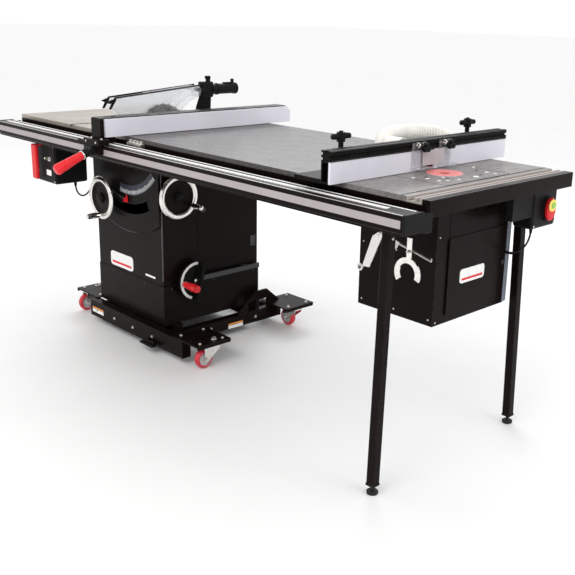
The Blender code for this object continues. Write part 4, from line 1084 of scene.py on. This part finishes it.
def switch_details():
    x, y, z = 2.1955, 0.6195, 0.778
    front = -0.06
    disc = Shape().plate(oval((y, z), 0.02, 0.019), "X", x - 0.0004, x + 0.0018)
    make("stop_disc", disc, YELLOW, "router_paddle", bevel=0.0006)
    dot = Shape().plate(oval((y + 0.003, z), 0.01, 0.0095), "X", x + 0.001, x + 0.004)
    make("start_button", dot, GREEN, "router_paddle", bevel=0.0008)
    middle = (0.622, 0.765)
    collar = Shape().band(oval(middle, 0.0258, 0.04), oval(middle, 0.0232, 0.037), "X", 2.174, 2.1795)
    make("button_collar", collar, BLACK)
    screws = Shape()
    for dy in (0.555, 0.665):
        for dz in (0.718, 0.822):
            screws.screw((2.176, dy, dz), RIGHT, 0.0032)
    for sx in (0.245, 0.375):
        for sz in (0.647, 0.787):
            screws.screw((sx, front, sz), FRONT, 0.0034)
    make("switch_screws", screws, ZINC)
    # A near-black line round the switch cover: painted shade in its seam.
    seam = Shape().frame((0.2385, 0.3815), (0.6405, 0.7935), 0.008, 0.0014, "Y", front - 0.0006,
            front + 0.0002)
    make("switch_cover_seam_shade", seam, GAP_SHADE_AND_DARK_LINES)
    plain = Shape().panel((0.312, 0.35), (0.668, 0.69), 0.002, "Y", front - 0.0008, front + 0.0002)
    make("switch_plate", plain, WHITE)
    toggle = Shape().turned([(0, 0), (0.009, 0), (0.009, 0.003), (0.0065, 0.004), (0.0065, 0.0075),
            (0, 0.008)], (0.345, front, 0.735), FRONT, 24)
    toggle.rod((0.345, front - 0.007, 0.735), (0.345, front - 0.023, 0.741), 0.0028, 16, 0.0042)
    make("switch_toggle", toggle, CHROME)
    lamp = Shape().turned([(0, 0), (0.005, 0), (0.005, 0.0022), (0.0034, 0.0042), (0, 0.0048)],
            (0.32, front, 0.735), FRONT, 24)
    make("switch_lamp", lamp, GREEN)


def box_details():
    """The door's latch and badge, and the case's screws and flanges."""
    door = "box_door"
    face = 2.053
    latch = Shape().turned([(0, 0.0), (0.0072, 0.0), (0.0074, 0.0006), (0.0068, 0.0014), (0, 0.0016)],
            (2.0553, 0.588, 0.575), RIGHT, 32)
    latch.block((2.0566, 2.0574), (0.5835, 0.5925), (0.5742, 0.5758), 0.0002)
    make("door_latch", latch, SATIN, door)
    badge("door_badge", (0.43, 0.567), 0.062, "X", face, 1, door)
    screws = Shape()
    for px in (1.765, 1.9, 2.035):
        for pz in (0.452, 0.64, 0.825):
            screws.screw((px, 0.25, pz), FRONT, 0.0032)
    for pz in (0.443, 0.705, 0.835):
        screws.screw((2.05, 0.265, pz), RIGHT, 0.0032)
    make("box_screws", screws, ZINC)
    # The rear flange is real, and its blue-grey colour is a painted sheen along the box's rear edge.
    strip = Shape().block((2.0478, 2.0515), (0.6085, 0.629), (0.436, 0.8465), 0.0005)
    make("box_rear_flange", strip, FLANGE_SHEEN)
    seam = Shape().block((2.0495, 2.0512), (0.3095, 0.3125), (0.697, 0.8465), 0.0003)
    seam.block((2.0495, 2.052), (0.25, 0.256), (0.436, 0.8465), 0.0005)
    make("box_flanges", seam, PAINT)


def storage_details():
    """The flat handle and strap at the bracket, and the mitre gauge's scale, stud and grip."""
    handle = Shape().plate([(1.934, 0.714), (1.955, 0.729), (1.9735, 0.726), (1.9265, 0.619),
            (1.8985, 0.617)], "Y", 0.101, 0.105)
    handle.turned([(0.006, 0), (0.0115, 0), (0.0115, 0.005), (0.006, 0.005)], (1.888, 0.101, 0.612),
            BACK, 36, ring=True)
    handle.rod((1.956, 0.1, 0.72), (1.96, 0.1075, 0.72), 0.003, 12)
    make("push_handle", handle, ALUMINIUM, slot="steel", bevel=0.0006)
    strap = Shape().plate([(1.958, 0.736), (1.964, 0.715), (2.0176, 0.6905), (2.029, 0.7125)], "Y",
            0.1085, 0.1115)
    make("tool_strap", strap, STEEL, bevel=0.0005)
    centre = (0.3, 0.272)
    body = "mitre_head"
    dial = Shape().sector(centre, 0.067, 0.0775, 84, 250, 30, "X", 0.8148, 0.8156)
    make("mitre_scale", dial, WHITE, body)
    ticks = Shape()
    for step in range(32):
        angle = math.radians(87 + step * 5)
        inner = 0.0715 if step % 3 else 0.069
        (u0, v0), (u1, v1) = ((centre[0] + r * math.cos(angle),
                centre[1] + r * math.sin(angle)) for r in (inner, 0.075))
        du, dv = -math.sin(angle) * 0.0005, math.cos(angle) * 0.0005
        ticks.plate([(u0 - du, v0 - dv), (u1 - du, v1 - dv), (u1 + du, v1 + dv), (u0 + du, v0 + dv)],
                "X", 0.8154, 0.816)
    make("mitre_ticks", ticks, GAP_SHADE_AND_DARK_LINES, body)
    stud = Shape().turned([(0, 0), (0.012, 0), (0.012, 0.003), (0.0075, 0.004), (0.0075, 0.008),
            (0, 0.0085)], (0.815, 0.3, 0.272), RIGHT, 24)
    stud.tube((0.815, 0.24, 0.268), (0.82, 0.24, 0.268), 0.0125, 0.0095)
    make("mitre_fittings", stud, CHROME, body)
    grip = Shape().turned([(0, 0.006), (0.0112, 0.006), (0.0128, 0.02), (0.0162, 0.06), (0.0164, 0.084),
            (0.014, 0.0895), (0.006, 0.0905), (0, 0.0905)], (0.814, 0.24, 0.268), RIGHT, 40)
    make("mitre_grip", grip, RED, body)


def leg_details():
    """Locknut, ferrule and top screws of each leg."""
    for name, y, top, lean in (("front", -0.0165, 0.7985, 0.021), ("rear", 0.6605, 0.847, -0.036)):
        nut = Shape().turned([(0.0056, 0), (0.0105, 0), (0.0105, 0.0024), (0.0098, 0.0029),
                (0.0056, 0.0029)], (2.0805, y, 0.0228), UP, 6, ring=True)
        make("leg_nut_" + name, nut, ZINC)
        boss = Shape().block((2.0655, 2.0955), (y - 0.015, y + 0.015), (0.0256, 0.033), 0.001)
        make("leg_ferrule_" + name, boss, BLACK)
        screws = Shape()
        for z in (top - 0.018, top - 0.045):
            screws.screw((2.0945, y + lean * z / top, z), RIGHT, 0.0042)
        make("leg_screws_" + name, screws, ZINC)


router_fence_details()
hose_cuffs()
switch_details()
box_details()
storage_details()
leg_details()


# ------------ floor and light


def floor():
    look = Look("floor", Roughness=0.55)
    tint = look.mix(look.ranged(look.noise(2.0, 4.0), 0.0, 1.0), (0.88, 0.88, 0.88), (0.9, 0.9, 0.9))
    look.feed("Base Color", tint)
    mesh = bpy.data.meshes.new("floor")
    reach = 60.0
    corners = [(-reach, -reach, 0), (reach, -reach, 0), (reach, reach, 0), (-reach, reach, 0)]
    mesh.from_pydata(corners, [], [(0, 1, 2, 3)])
    mesh.materials.append(look.material)
    new_object("floor", mesh)


def light(name, place, target, size, power, colour=(1, 1, 1)):
    lamp = bpy.data.lights.new(name, "AREA")
    lamp.shape = "RECTANGLE"
    lamp.size, lamp.size_y = size
    lamp.energy = power
    lamp.color = colour
    made = new_object(name, lamp)
    made.location = place
    made.rotation_euler = (Vector(target) - Vector(place)).to_track_quat("-Z", "Y").to_euler()


def studio():
    world = bpy.data.worlds.new("studio")
    world.use_nodes = True
    back = world.node_tree.nodes["Background"]
    back.inputs["Color"].default_value = (1.0, 1.0, 1.0, 1.0)
    back.inputs["Strength"].default_value = 1.05
    bpy.context.scene.world = world
    bpy.context.scene.view_settings.view_transform = "Standard"
    light("key", (1.2, -3.4, 3.6), (0.2, 0, 0.6), (2.4, 1.6), 60, (1.0, 0.98, 0.95))
    light("fill", (4.2, 0.6, 2.6), (0.4, 0, 0.5), (2.0, 2.0), 25)
    light("rim", (-2.6, 2.8, 3.0), (0, 0, 0.7), (2.4, 1.2), 40, (0.95, 0.97, 1.0))


floor()
studio()
